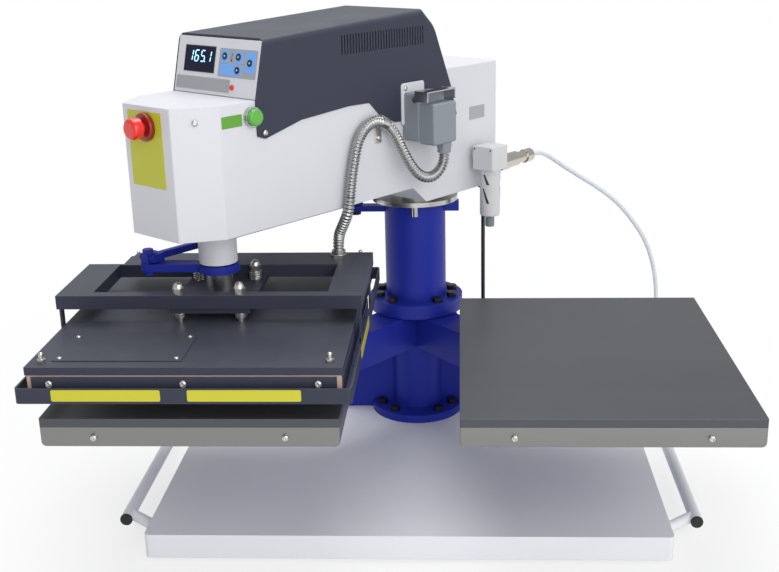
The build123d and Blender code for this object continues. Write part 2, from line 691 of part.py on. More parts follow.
def make_hood():
    half = HEAD_HALF_WIDTH + HOOD_SHEET
    face = Plane.YZ * make_face(Polyline(*hood_outline(), close=True))
    outer = Pos(-half, 0, 0) * extrude(face, 2 * half)
    top_edges = outer.edges().filter_by(
        lambda e: e.center().Z > HEAD_TOP + 30 and abs(e.center().X) > half - 1
    )
    top_edges = [e for e in top_edges if e.center().Y > -HOOD_FRONT + PANEL_LEAN]
    outer = fillet(top_edges, HOOD_RADIUS)
    inner_face = offset(face, -HOOD_SHEET)
    inner = Pos(-HEAD_HALF_WIDTH, 0, 0) * extrude(inner_face, 2 * HEAD_HALF_WIDTH)
    top_edges = inner.edges().filter_by(
        lambda e: e.center().Z > HEAD_TOP + 30 and abs(e.center().X) > HEAD_HALF_WIDTH - 1
    )
    top_edges = [e for e in top_edges if e.center().Y > -HOOD_FRONT + PANEL_LEAN + HOOD_SHEET]
    inner = fillet(top_edges, HOOD_RADIUS - HOOD_SHEET)
    hood = outer - inner
    w = HEAD_HALF_WIDTH
    hood -= box(-w, w, -HEAD_FRONT, HEAD_REAR, HEAD_BOTTOM_REAR, HEAD_TOP)
    hood -= panel_place() * box(-w, w, -PANEL_THICKNESS, 2 * PANEL_THICKNESS, 0, panel_height() - HOOD_SHEET)
    slots = [
        box(
            -half - 1, half + 1,
            -VENT_FRONT + k * VENT_PITCH, -VENT_FRONT + k * VENT_PITCH + VENT_WIDTH,
            VENT_BOTTOM, VENT_TOP,
        )
        for k in range(VENT_COUNT)
    ]
    hood = hood - slots
    # The front edge is notched round the start button's bezel
    hood -= bar((w - 1, START_Y, START_Z), (half + 1, START_Y, START_Z), START_BEZEL_R + BEZEL_CLEARANCE)
    save("hood", in_head(hood))


# Display panel, its window and keys
def panel_place():
    """The lower front edge of the sloping display panel, in the head's own axes."""
    lean = math.degrees(math.atan2(PANEL_LEAN, HOOD_TOP_FRONT - HEAD_TOP))
    return Pos(0, -HOOD_FRONT, HEAD_TOP) * Rot(-lean, 0, 0)


def panel_height():
    """The length of the panel along its slope."""
    return math.hypot(PANEL_LEAN, HOOD_TOP_FRONT - HEAD_TOP)


def make_panel():
    place = panel_place()
    w = HEAD_HALF_WIDTH
    panel = box(-w, w, 0, PANEL_THICKNESS, 1, panel_height() - HOOD_SHEET - 1)
    x, z = WINDOW_X, WINDOW_Z
    a, b = WINDOW_WIDTH / 2, WINDOW_HEIGHT / 2
    panel -= box(x - a, x + a, -1, PANEL_THICKNESS + 1, z - b, z + b)
    window = box(x - a, x + a, 0, PANEL_THICKNESS, z - b, z + b)
    for number, (key_x, key_z) in enumerate(KEYS, 1):
        hole_r = KEY_R + KEY_CLEARANCE
        panel -= bar((key_x, -1, key_z), (key_x, PANEL_THICKNESS + 1, key_z), hole_r)
        key = bar((key_x, -KEY_PROUD, key_z), (key_x, PANEL_THICKNESS, key_z), KEY_R)
        key = fillet(key.faces().sort_by(Axis.Y)[0].edges(), KEY_PROUD / 3)
        save(f"key_{number}", in_head(place * key))
    panel -= bar((LAMP_X, -1, LAMP_Z), (LAMP_X, PANEL_THICKNESS + 1, LAMP_Z), LAMP_R)
    lamp = bar((LAMP_X, -LAMP_PROUD, LAMP_Z), (LAMP_X, PANEL_THICKNESS, LAMP_Z), LAMP_R)
    lamp = fillet(lamp.faces().sort_by(Axis.Y)[0].edges(), LAMP_PROUD / 2)
    save("display_panel", in_head(place * panel))
    save("display_window", in_head(place * window))
    save("indicator_lamp", in_head(place * lamp))


# Emergency stop on the front face and start button on the right side
def make_estop():
    face = -HEAD_FRONT
    bore = ESTOP_STEM_R + RUNNING_FIT
    collar = pipe((0, face, ESTOP_Z), (0, face - ESTOP_COLLAR, ESTOP_Z), ESTOP_COLLAR_R, bore)
    collar = fillet(collar.faces().sort_by(Axis.Y)[0].edges().sort_by(SortBy.LENGTH)[-1:], ESTOP_COLLAR / 3)
    collar += pipe((0, face + ESTOP_BARREL, ESTOP_Z), (0, face, ESTOP_Z), ESTOP_BARREL_R, bore)
    save("estop_base", in_head(collar))
    rear = face - ESTOP_COLLAR - ESTOP_TRAVEL - ESTOP_SPARE
    front = rear - ESTOP_HEAD
    stem = bar((0, face + ESTOP_BARREL, ESTOP_Z), (0, rear, ESTOP_Z), ESTOP_STEM_R)
    stem += bar((0, rear, ESTOP_Z), (0, rear - ESTOP_HEAD / 2, ESTOP_Z), ESTOP_PIVOT_R)
    save("estop_stem", in_head(stem))
    head = bar((0, rear, ESTOP_Z), (0, front, ESTOP_Z), ESTOP_HEAD_R)
    head = fillet(head.faces().sort_by(Axis.Y)[0].edges(), ESTOP_HEAD / 2.5)
    head -= bar((0, rear + 1, ESTOP_Z), (0, rear - ESTOP_HEAD / 2 - 1, ESTOP_Z), ESTOP_PIVOT_R + RUNNING_FIT)
    save("estop_head", in_head(head))


def make_start_button():
    wall = HEAD_HALF_WIDTH
    y, z = START_Y, START_Z
    bore = START_R + RUNNING_FIT
    bezel = pipe((wall, y, z), (wall + START_BEZEL, y, z), START_BEZEL_R, bore)
    bezel += pipe((wall - START_BARREL, y, z), (wall, y, z), START_BARREL_R, bore)
    save("start_bezel", in_head(bezel))
    button = bar((wall - START_BARREL / 2, y, z), (wall + START_BEZEL + START_PROUD, y, z), START_R)
    button = fillet(button.faces().sort_by(Axis.X)[-1].edges(), START_PROUD / 2)
    save("start_button", in_head(button))


# Press cylinder, rod and the bush that turns with the rod
def make_cylinder():
    y = -REACH
    floor_z = HEAD_BOTTOM_FRONT + HEAD_SHEET
    cylinder = disc(0, y, floor_z, CYLINDER_TOP, CYLINDER_R)
    cylinder -= disc(0, y, floor_z + CYLINDER_END, CYLINDER_TOP - CYLINDER_END, BORE_R)
    cylinder -= disc(0, y, floor_z - 1, floor_z + CYLINDER_END + 1, BUSH_R)
    save("press_cylinder", in_head(cylinder))
    cover = ring(0, y, ROD_COVER_BOTTOM, floor_z, ROD_COVER_R, ROD_COVER_R - ROD_COVER_WALL)
    save("rod_cover", in_head(cover))
    seat = floor_z + CYLINDER_END
    bush = disc(0, y, floor_z, seat + BUSH_FLANGE, BUSH_R - RUNNING_FIT)
    bush += disc(0, y, seat, seat + BUSH_FLANGE, BUSH_FLANGE_R)
    bush -= disc(0, y, floor_z - 1, seat + BUSH_FLANGE + 1, ROD_R + RUNNING_FIT)
    save("turn_bush", in_head(bush))
    rod = disc(0, 0, ROD_ARM_BOTTOM, PISTON_Z + PISTON_THICKNESS, ROD_R)
    rod += disc(0, 0, PISTON_Z, PISTON_Z + PISTON_THICKNESS, BORE_R - RUNNING_FIT)
    rod += disc(0, 0, FRAME_BOTTOM, ROD_ARM_BOTTOM, SOCKET_R)
    save("piston_rod", at_station(rod))


# Rod arm, elbow and parallel link
def make_link():
    x = -LINK_OFFSET
    half = ROD_ARM_WIDTH / 2
    arm = disc(0, 0, ROD_ARM_BOTTOM, ROD_ARM_TOP, CLAMP_R)
    arm += box(x, 0, -half, half, ROD_ARM_BOTTOM, ROD_ARM_TOP)
    arm += disc(x, 0, ROD_ARM_BOTTOM, ROD_ARM_TOP, half)
    arm -= disc(0, 0, ROD_ARM_BOTTOM - 1, ROD_ARM_TOP + 1, ROD_R)
    arm -= disc(x, 0, ROD_ARM_BOTTOM - 1, ROD_ARM_TOP + 1, ELBOW_STUD_R + RUNNING_FIT)
    save("rod_arm", at_station(arm))
    # The elbow block and the link are drawn with the link pointing to +Y, then turned
    block_half = ELBOW_BLOCK / 2
    block_bottom = ROD_ARM_TOP + ELBOW_LIFT
    block_top = LINK_Z + ELBOW_BLOCK / 2
    elbow = box(-block_half, block_half, -block_half, block_half, block_bottom, block_top)
    nut = ELBOW_NUT
    elbow += disc(0, 0, ROD_ARM_BOTTOM - nut - ELBOW_LIFT, block_bottom, ELBOW_STUD_R)
    elbow += hexagon(0, 0, ROD_ARM_BOTTOM - nut - ELBOW_LIFT, ROD_ARM_BOTTOM - ELBOW_LIFT, ELBOW_NUT_R)
    elbow += hexagon(0, 0, block_top, block_top + nut, ELBOW_NUT_R)
    ear_out = block_half + ELBOW_SIDE + FORK_EAR
    elbow += bar((-ear_out - 2, 0, LINK_Z), (ear_out + 2, 0, LINK_Z), ELBOW_PIN_R)
    for sign in (-1, 1):
        washer_in, washer_out = sign * (ear_out + ELBOW_SIDE), sign * (ear_out + 3)
        elbow += bar((washer_in, 0, LINK_Z), (washer_out, 0, LINK_Z), ELBOW_WASHER_R)
    turn = Pos(-STATION_X - LINK_OFFSET, STATION_Y, 0) * Rot(0, 0, -SWING_HALF)
    save("elbow_fork", turn * elbow)
    link = None
    for sign in (-1, 1):
        inner, outer = sign * (block_half + ELBOW_SIDE), sign * ear_out
        ear = bar((inner, 0, LINK_Z), (outer, 0, LINK_Z), EAR_R)
        ear += box(
            min(inner, outer), max(inner, outer), 0, ELBOW_BLOCK + FORK_EAR, LINK_Z - EAR_R, LINK_Z + EAR_R
        )
        link = ear if link is None else link + ear
    bridge = ELBOW_BLOCK - FORK_EAR
    link += box(-ear_out, ear_out, bridge, ELBOW_BLOCK + FORK_EAR, LINK_Z - EAR_R, LINK_Z + EAR_R)
    low, high = LINK_Z - LINK_HEIGHT / 2, LINK_Z + LINK_HEIGHT / 2
    link += box(-LINK_WIDTH / 2, LINK_WIDTH / 2, bridge, REACH, low, high)
    link += disc(0, REACH, low, high, LINK_EYE_R)
    link -= disc(0, REACH, low - 1, high + 1, ANCHOR_R + LINK_EYE_CLEARANCE)
    link -= bar((-ear_out - 1, 0, LINK_Z), (ear_out + 1, 0, LINK_Z), ELBOW_PIN_R + RUNNING_FIT)
    save("parallel_link", turn * link)


# Heater, drawn about the press axis
def make_heater():
    plate_x, plate_y = PLATEN_WIDTH / 2, PLATEN_DEPTH / 2
    heater = box(-plate_x, plate_x, -plate_y, plate_y, PLATE_BOTTOM, INSULATION_BOTTOM)
    save("heater_plate", at_station(heater))
    x, y = CASE_X - PANEL_SHEET, CASE_Y - PANEL_SHEET
    wool = box(-x, x, -y, y, INSULATION_BOTTOM, COVER_BOTTOM)
    x, y = CASE_X - COVER_SHEET, CASE_Y - COVER_SHEET
    wool += box(-x, x, -y, y, COVER_BOTTOM, COVER_TOP - COVER_SHEET)
    save("insulation", at_station(wool))
    cover = box(-CASE_X, CASE_X, -CASE_Y, CASE_Y, COVER_BOTTOM, COVER_TOP)
    cover -= box(-x, x, -y, y, COVER_BOTTOM - 1, COVER_TOP - COVER_SHEET)
    save("heater_cover", at_station(cover))
    low, high = PLATE_BOTTOM + PANEL_LIFT, COVER_BOTTOM - PANEL_SHOW
    x, y = CASE_X - PANEL_CORNER, CASE_Y - PANEL_CORNER
    panels = []
    for side in (-1, 1):
        inner, outer = sorted((side * (CASE_Y - PANEL_SHEET), side * CASE_Y))
        panels.append(at_station(box(-x, x, inner, outer, low, high)))
        inner, outer = sorted((side * (CASE_X - PANEL_SHEET), side * CASE_X))
        panels.append(at_station(box(inner, outer, -y, y, low, high)))
    save("heater_panels", *panels)


def make_guard():
    guard = box(-GUARD_X, GUARD_X, -GUARD_Y, GUARD_Y, GUARD_BOTTOM, GUARD_TOP)
    guard = fillet(guard.edges().filter_by(Axis.Z), GUARD_CORNER)
    x, y = GUARD_X - GUARD_SHEET, GUARD_Y - GUARD_SHEET
    hole = box(-x, x, -y, y, GUARD_BOTTOM - 1, GUARD_TOP + 1)
    guard -= fillet(hole.edges().filter_by(Axis.Z), GUARD_CORNER - GUARD_SHEET)
    for y in (-LEG_FRONT - STATION_Y, -LEG_BACK - STATION_Y):
        for side in (-1, 1):
            inner, outer = sorted((side * (x - LEG_SHEET), side * x))
            guard += box(inner, outer, y - LEG_WIDTH / 2, y + LEG_WIDTH / 2, GUARD_BOTTOM, FRAME_BOTTOM)
    save("guard_rail", at_station(guard))


def make_frame():
    """The carrying frame: an upturned sheet channel, open in the middle, with the saddle under it."""
    front, back = -FRAME_FRONT - STATION_Y, -FRAME_BACK - STATION_Y
    notch_y = back - FRAME_BACK_BAR
    w = GUARD_X
    outline = [
        (-w, front), (w, front), (w, back),
        (-w + FRAME_NOTCH, back), (-w + FRAME_NOTCH, notch_y), (-w, notch_y),
    ]
    opening_x = w - FRAME_SIDE_BAR
    opening_front, opening_back = front + FRAME_FRONT_BAR, notch_y - FRAME_LAP
    opening = [
        (-opening_x, opening_front), (opening_x, opening_front),
        (opening_x, opening_back), (-opening_x, opening_back),
    ]
    outer = make_face(Polyline(*outline, close=True))
    inner = make_face(Polyline(*opening, close=True))
    frame = extrude(outer, FRAME_HEIGHT) - extrude(inner, FRAME_HEIGHT)
    pocket = offset(outer, -FRAME_SHEET) - offset(inner, FRAME_SHEET, kind=Kind.INTERSECTION)
    frame = Pos(0, 0, FRAME_BOTTOM) * (frame - extrude(pocket, FRAME_HEIGHT - FRAME_SHEET))
    half = SADDLE_WIDTH / 2
    under = FRAME_BOTTOM - SADDLE_THICKNESS
    frame += box(-half, half, front + SADDLE_INSET, back - SADDLE_INSET, under, FRAME_BOTTOM)
    bolts = []
    spacing = STUD_SPACING / 2
    front_stud = (-STUD_FRONT - STATION_Y, FRAME_TOP, STUD_WASHER)
    back_stud = (-STUD_BACK - STATION_Y, FRAME_BOTTOM, STUD_SPRING)
    for y, seat, spring in (front_stud, back_stud):
        for x in (-spacing, spacing):
            frame -= disc(x, y, under - 1, FRAME_TOP + 1, STUD_R + BOLT_CLEARANCE)
            top = seat + spring + STUD_NUT
            bolt = disc(x, y, COVER_TOP, top + STUD_NUT / 2, STUD_R)
            bolt += disc(x, y, seat, seat + spring, STUD_HEAD_R)
            bolt += hexagon(x, y, seat + spring, top, STUD_HEAD_R + 1)
            bolt += disc(x, y, under - STUD_NUT, under, STUD_HEAD_R + 1)
            bolts.append(at_station(bolt))
    x, y = CASE_X - COVER_STUD_INSET, CASE_Y - COVER_STUD_INSET
    for side_x in (-1, 1):
        for side_y in (-1, 1):
            stud = disc(side_x * x, side_y * y, COVER_TOP, COVER_TOP + COVER_STUD_HEIGHT, COVER_STUD_R)
            stud += hexagon(side_x * x, side_y * y, COVER_TOP, COVER_TOP + COVER_NUT, COVER_NUT_R)
            bolts.append(at_station(stud))
    for x in (-PANEL_SCREW_SPACING, 0, PANEL_SCREW_SPACING):
        screw = bar((x, -CASE_Y, PANEL_SCREW_Z), (x, -CASE_Y - SCREW_HEAD, PANEL_SCREW_Z), APRON_SCREW_R)
        bolts.append(at_station(screw))
    save("upper_frame", at_station(frame))
    save("heater_bolts", *bolts)
    x, y = FRAME_GLAND_X, FRAME_GLAND_Y
    gland = hexagon(x, y, FRAME_TOP, FRAME_TOP + FRAME_GLAND_HEIGHT / 2, CONDUIT_GLAND_R)
    gland += disc(x, y, FRAME_TOP, FRAME_TOP + FRAME_GLAND_HEIGHT, CONDUIT_R + 2)
    save("frame_gland", at_station(gland))


# Connector, its lever and the conduit
def make_connector():
    wall = HEAD_HALF_WIDTH + HOOD_SHEET
    split = wall + CONNECTOR_BASE_DEPTH
    front, back = -CONNECTOR_FRONT, -CONNECTOR_FRONT + CONNECTOR_LENGTH
    base = box(wall, split, front, back, CONNECTOR_BASE_BOTTOM, CONNECTOR_BASE_TOP - CONNECTOR_WALL)
    base = fillet(base.edges().filter_by(Axis.X), CONNECTOR_EDGE)
    pin_x = split - LEVER_EYE_R
    pin_z = CONNECTOR_HOOD_TOP + LEVER_EYE_R
    bore = LEVER_PIN_R + RUNNING_FIT
    base -= bar((pin_x, front - 1, pin_z), (pin_x, back + 1, pin_z), bore)
    save("connector_base", in_head(base))
    outer = split + CONNECTOR_HOOD_DEPTH
    inset = CONNECTOR_HOOD_INSET
    hood = box(split, outer, front + inset, back - inset, CONNECTOR_HOOD_BOTTOM, CONNECTOR_HOOD_TOP)
    hood = fillet(hood.edges().filter_by(Axis.X) + hood.faces().sort_by(Axis.X)[-1].edges(), CONNECTOR_EDGE)
    x, y, gland_bottom = conduit_start()
    middle = CONNECTOR_HOOD_BOTTOM - CONDUIT_GLAND_LENGTH / 2
    hood += hexagon(x, y, middle, CONNECTOR_HOOD_BOTTOM, CONDUIT_GLAND_R)
    hood += disc(x, y, gland_bottom, CONNECTOR_HOOD_BOTTOM, CONDUIT_R + 2)
    save("connector_hood", in_head(hood))
    # The bail lever turns on a pin through the base and lies over the hood's top
    end = outer - LEVER_END
    top = CONNECTOR_BASE_TOP + LEVER_SHEET
    front_arm = (front - LEVER_SHEET - RUNNING_FIT, front - RUNNING_FIT)
    back_arm = (back + RUNNING_FIT, back + LEVER_SHEET + RUNNING_FIT)
    lever = box(pin_x + LEVER_START, end, front_arm[0], back_arm[1], CONNECTOR_BASE_TOP, top)
    for y0, y1 in (front_arm, back_arm):
        lever += box(pin_x, end, y0, y1, pin_z - LEVER_PIN_R, top)
        lever += bar((pin_x, y0, pin_z), (pin_x, y1, pin_z), LEVER_EYE_R)
    lever += bar((pin_x, front_arm[0], pin_z), (pin_x, back_arm[1], pin_z), LEVER_PIN_R)
    save("connector_lever", in_head(lever))


def conduit_start():
    """The lower end of the connector's gland, in the head's own axes."""
    x = HEAD_HALF_WIDTH + HOOD_SHEET + CONNECTOR_BASE_DEPTH + CONNECTOR_HOOD_DEPTH / 2
    y = -CONNECTOR_FRONT + CONNECTOR_LENGTH - CONNECTOR_HOOD_INSET - CONDUIT_GLAND_R - 2
    return x, y, CONNECTOR_HOOD_BOTTOM - CONDUIT_GLAND_LENGTH


def conduit_end():
    """The top of the heater frame's gland, in the head's own axes."""
    turn = math.radians(SWING_HALF)
    x, y = -STATION_X + FRAME_GLAND_X, STATION_Y + FRAME_GLAND_Y
    return (
        x * math.cos(turn) - y * math.sin(turn),
        x * math.sin(turn) + y * math.cos(turn),
        FRAME_TOP + FRAME_GLAND_HEIGHT,
    )


def corner_radii(points):
    """The largest smooth arc at each inner point of a cord's route."""
    points = [Vector(*p) for p in points]
    radii = []
    for before, here, after in zip(points, points[1:], points[2:]):
        turn = math.radians((here - before).get_angle(after - here))
        radii.append(0.45 * min((here - before).length, (after - here).length) / math.tan(turn / 2))
    return radii


def cord(name, points, r):
    """A flexible tube along a route of straight runs joined by arcs, with a printed check of its volume."""
    radii = corner_radii(points)
    path = FilletPolyline(*points, radius=radii)
    tube = sweep(Plane(origin=path @ 0, z_dir=path % 0) * Circle(r), path=path)
    ratio = tube.volume / (math.pi * r * r * path.length)
    print(f"{name}: length {path.length:.0f}, smallest radius {min(radii):.0f}, volume ratio {ratio:.4f}")
    print("  radii", [round(radius) for radius in radii])
    return tube, path.length


# The conduit's route in the head's own axes, between its two vertical ends
CONDUIT_LEAD = 14.0
CONDUIT_UPPER = [
    (134.5, -95.0, 522.0), (131.0, -114.0, 514.0), (126.0, -134.0, 520.0), (120.0, -148.0, 538.0),
    (113.0, -158.0, 562.0), (106.0, -166.0, 586.0), (101.5, -180.0, 606.0), (99.5, -203.0, 617.0),
    (99.5, -228.0, 611.0), (99.5, -247.0, 592.0), (99.5, -257.0, 563.0), (99.5, -265.5, 530.0),
]
CONDUIT_LOWER = [(100.5, -273.5, 486.0), (84.0, -270.5, 460.0)]
CONDUIT_RISE = 22.0


def make_conduit():
    """The two lengths meet in the middle of one straight run, so their end faces lie on each other."""
    start, end = conduit_start(), conduit_end()
    below = (start[0], start[1], start[2] - CONDUIT_LEAD)
    above = (end[0], end[1], end[2] + CONDUIT_RISE)
    joint = tuple((a + b) / 2 for a, b in zip(CONDUIT_UPPER[-1], CONDUIT_LOWER[0]))
    upper = [head_point(*p) for p in [start, below, *CONDUIT_UPPER, joint]]
    lower = [head_point(*p) for p in [joint, *CONDUIT_LOWER, above, end]]
    save("conduit_upper", cord("conduit_upper", upper, CONDUIT_R)[0])
    save("conduit_lower", cord("conduit_lower", lower, CONDUIT_R)[0])


def make_filter():
    half = FILTER_BLOCK / 2
    x, y, z = FILTER_X, FILTER_Y, FILTER_Z
    body = box(x - half, x + half, y - half, y + half, BOWL_TOP, z + FILTER_DEPTH / 2)
    body = fillet(body.edges().filter_by(Axis.Z), FILTER_EDGE)
    body += bar((HEAD_HALF_WIDTH, y, z), (x, y, z), FILTER_PORT_R)
    save("filter_body", in_head(body))
    bowl = disc(x, y, BOWL_BOTTOM, BOWL_TOP, BOWL_R)
    bowl = fillet(bowl.faces().sort_by(Axis.Z)[0].edges(), FILTER_EDGE)
    bowl += disc(x, y, BOWL_TOP - BOWL_COLLAR, BOWL_TOP, BOWL_R + 2)
    bowl -= disc(x, y, BOWL_BOTTOM - 1, BOWL_BOTTOM + DRAIN_HEIGHT, DRAIN_STEM_R + RUNNING_FIT)
    save("filter_bowl", in_head(bowl))
    drain = disc(x, y, BOWL_BOTTOM - DRAIN_HEIGHT, BOWL_BOTTOM - DRAIN_GAP, DRAIN_R)
    drain = fillet(drain.faces().sort_by(Axis.Z)[0].edges(), FILTER_EDGE / 2)
    drain += disc(x, y, BOWL_BOTTOM - 1, BOWL_BOTTOM + DRAIN_HEIGHT - 1, DRAIN_STEM_R)
    save("filter_drain", in_head(drain))
    start = y + half
    fittings = None
    for length, r in FITTINGS:
        piece = bar((x, start, FITTING_Z), (x, start + length, FITTING_Z), r)
        fittings = piece if fittings is None else fittings + piece
        start += length
    save("air_fittings", in_head(fittings))


HOSE_ROUTE = [
    (243.0, 104.0, 494.0), (268.0, 116.0, 474.0), (304.0, 130.0, 449.0), (343.0, 141.0, 423.0),
    (380.0, 149.0, 393.0), (412.0, 155.0, 354.0), (437.0, 159.0, 315.0), (453.0, 162.0, 270.0),
    (461.0, 164.0, 228.0), (464.0, 165.0, 182.0), (466.0, 165.5, 134.0), (467.5, 165.0, 94.0),
    (469.0, 165.5, 64.0), (470.5, 166.0, 41.0), (472.0, 172.5, 24.5), (473.0, 185.0, 11.5),
    (474.0, 201.5, 4.0),
]
MAINS_ROUTE = [
    (127.0, 35.0, 92.0), (141.0, 43.0, 62.0), (162.0, 53.0, 48.5), (184.0, 60.5, 46.5),
    (204.0, 64.5, 46.5),
]


def coil(name, middle, ground, r, cord_r, left, starts):
    """A put-away coil as one closed ring, with straight tails that leave its outer turn.

    The ring is a few turns wide, and as many layers high as the length that is left needs.
    """
    x, y = middle
    half = COIL_ACROSS * cord_r
    layers = math.ceil(left / (2 * math.pi * r * COIL_ACROSS))
    height = layers * 2 * cord_r
    body = ring(x, y, ground, ground + height, r + half, r - half)
    body = fillet(body.edges().filter_by(GeomType.CIRCLE), COIL_EDGE)
    for start, end in starts:
        body += bar((*start, ground + cord_r), (*end, ground + cord_r), cord_r)
    print(f"{name}: {left:.0f} left to wind, {layers} layers of {COIL_ACROSS}")
    save(name, body)


def make_hose():
    """The air hose from the filter down to a coil on the table behind the machine."""
    x, y = HOSE_COIL_AT
    turn_r = HOSE_COIL_R + (COIL_ACROSS - 1) * HOSE_R
    entry = (x - turn_r, y - COIL_TAIL)
    leave = (x + COIL_TAIL, y + turn_r)
    fitting_end = FILTER_Y + FILTER_BLOCK / 2 + sum(length for length, r in FITTINGS)
    start = head_point(FILTER_X, fitting_end, FITTING_Z)
    lead = head_point(FILTER_X, fitting_end + HOSE_LEAD, FITTING_Z)
    hose, length = cord("hose", [start, lead, *HOSE_ROUTE, (*entry, HOSE_R)], HOSE_R)
    save("hose", hose)
    tails = [((x - turn_r, y), entry), ((x, y + turn_r), leave)]
    coil("hose_coil", HOSE_COIL_AT, 0, HOSE_COIL_R, HOSE_R, HOSE_LENGTH - length, tails)
    neck_end = leave[0] + NIPPLE_NECK
    nipple = bar((*leave, HOSE_R), (neck_end + 1, leave[1], HOSE_R), HOSE_R - NECK_EASE)
    nipple += bar((neck_end, leave[1], NIPPLE_R), (leave[0] + NIPPLE_LENGTH, leave[1], NIPPLE_R), NIPPLE_R)
    save("hose_nipple", nipple)


def make_mains():
    """The mains cable from the gland under the head to a coil on the base behind the column."""
    gland = hexagon(
        MAINS_X, MAINS_Y, HEAD_BOTTOM_REAR - MAINS_GLAND_HEX, HEAD_BOTTOM_REAR, GLAND_R + 2
    ) + disc(MAINS_X, MAINS_Y, HEAD_BOTTOM_REAR, HEAD_BOTTOM_REAR + HEAD_SHEET + 6, GLAND_R)
    bottom = HEAD_BOTTOM_REAR - MAINS_GLAND_LENGTH
    taper = Pos(MAINS_X, MAINS_Y, (bottom + HEAD_BOTTOM_REAR) / 2) * Cone(
        MAINS_R + 1, GLAND_R - 1, MAINS_GLAND_LENGTH
    )
    save("mains_gland", in_head(gland + taper))
    x, y = MAINS_COIL_AT
    turn_r = MAINS_COIL_R + (COIL_ACROSS - 1) * MAINS_R
    cable_z = BASE_TOP + MAINS_R
    entry = (x - COIL_TAIL, y - turn_r)
    leave = (x - COIL_TAIL, y + turn_r)
    start = head_point(MAINS_X, MAINS_Y, bottom)
    hanging = (start[0], start[1], MAINS_STRAIGHT_Z)
    mains, length = cord("mains_cable", [start, hanging, *MAINS_ROUTE, (*entry, cable_z)], MAINS_R)
    save("mains_cable", mains)
    tails = [((x, y - turn_r), entry), ((x, y + turn_r), leave)]
    coil("mains_coil", MAINS_COIL_AT, BASE_TOP, MAINS_COIL_R, MAINS_R, MAINS_LENGTH - length, tails)
    z = BASE_TOP + PLUG_R
    neck_end = leave[0] - PLUG_NECK
    end = neck_end - PLUG_LENGTH
    plug = bar((neck_end, leave[1], z), (end, leave[1], z), PLUG_R)
    plug = fillet(plug.edges().filter_by(GeomType.CIRCLE), COIL_EDGE)
    neck_r = MAINS_R - NECK_EASE
    plug += bar((*leave, cable_z), (neck_end - PLUG_LENGTH / 2, leave[1], cable_z), neck_r)
    for side in (-1, 1):
        pin_y = leave[1] + side * PLUG_PIN_SPACING / 2
        plug += bar((end, pin_y, z), (end - PLUG_PIN_LENGTH, pin_y, z), PLUG_PIN_R)
    save("mains_plug", plug)


def make_head_fixings():
    """Screws of the hood and the front corner, and the clip that holds the conduit to the side."""
    side = HEAD_HALF_WIDTH + HOOD_SHEET
    pieces = []
    for y, z in ((-HOOD_FRONT + 12, HOOD_EAR_BOTTOM + 9), (-6.0, HOOD_REAR_BOTTOM + 12)):
        for direction in (-1, 1):
            head = bar((direction * side, y, z), (direction * (side + SCREW_HEAD), y, z), HEAD_SCREW_R)
            pieces.append(in_head(head))
    corner = Vector(HEAD_FACE_HALF + HEAD_HALF_WIDTH, -2 * HEAD_FRONT + HEAD_CHAMFER_DEPTH) / 2
    outward = Vector(HEAD_CHAMFER_DEPTH, -(HEAD_HALF_WIDTH - HEAD_FACE_HALF)).normalized()
    start = (corner.X, corner.Y, CORNER_SCREW_Z)
    end = (corner.X + outward.X * SCREW_HEAD, corner.Y + outward.Y * SCREW_HEAD, CORNER_SCREW_Z)
    pieces.append(in_head(bar(start, end, HEAD_SCREW_R)))
    x, z = CLIP_CORD_X, CLIP_CORD_Z
    y0, y1 = CLIP_Y - CLIP_WIDTH / 2, CLIP_Y + CLIP_WIDTH / 2
    clip = box(HEAD_HALF_WIDTH, HEAD_HALF_WIDTH + CLIP_SHEET, y0, y1, z - CLIP_REACH, z + CLIP_FOOT)
    pieces.append(in_head(clip))
    save("head_fixings", *pieces)


def main():
    os.makedirs("parts", exist_ok=True)
    make_base()
    make_rails()
    bolts = make_column()
    screws = make_platens()
    save("base_fixings", *bolts, *screws)
    make_anchor_bolt()
    make_swing_bearing()
    make_head_shell()
    make_hood()
    make_panel()
    make_estop()
    make_start_button()
    make_cylinder()
    make_link()
    make_heater()
    make_guard()
    make_frame()
    make_connector()
    make_conduit()
    make_filter()
    make_hose()
    make_mains()
    make_head_fixings()


main()
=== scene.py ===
import json
import math

import bmesh
import bpy
from mathutils import Matrix, Vector


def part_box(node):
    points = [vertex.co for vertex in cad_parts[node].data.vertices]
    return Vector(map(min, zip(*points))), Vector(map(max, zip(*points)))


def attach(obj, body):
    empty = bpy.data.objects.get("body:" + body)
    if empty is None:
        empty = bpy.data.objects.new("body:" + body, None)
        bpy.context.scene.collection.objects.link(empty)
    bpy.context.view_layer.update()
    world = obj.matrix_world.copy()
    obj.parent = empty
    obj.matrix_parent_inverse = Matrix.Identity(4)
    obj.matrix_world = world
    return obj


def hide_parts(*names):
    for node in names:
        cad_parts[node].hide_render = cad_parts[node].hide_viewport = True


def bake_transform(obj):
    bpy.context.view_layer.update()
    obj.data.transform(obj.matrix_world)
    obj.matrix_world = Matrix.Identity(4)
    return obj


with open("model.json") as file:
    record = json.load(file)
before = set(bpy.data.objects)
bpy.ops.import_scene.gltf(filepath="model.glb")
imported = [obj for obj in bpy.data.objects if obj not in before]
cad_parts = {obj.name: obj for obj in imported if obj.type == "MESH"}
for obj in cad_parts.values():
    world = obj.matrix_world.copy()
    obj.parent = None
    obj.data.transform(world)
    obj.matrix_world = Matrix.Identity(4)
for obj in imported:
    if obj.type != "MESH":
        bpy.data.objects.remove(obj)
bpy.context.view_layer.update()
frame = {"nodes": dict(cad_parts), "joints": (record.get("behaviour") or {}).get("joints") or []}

bl_info = {
    "name": "Heat press looks",
    "version": (1, 0, 0),
    "blender": (4, 5, 0),
    "location": "View3D > Sidebar > Heat press",
    "description": "Dresses a pneumatic heat press with its finishes, cords, labels and small parts",
    "category": "Object",
}

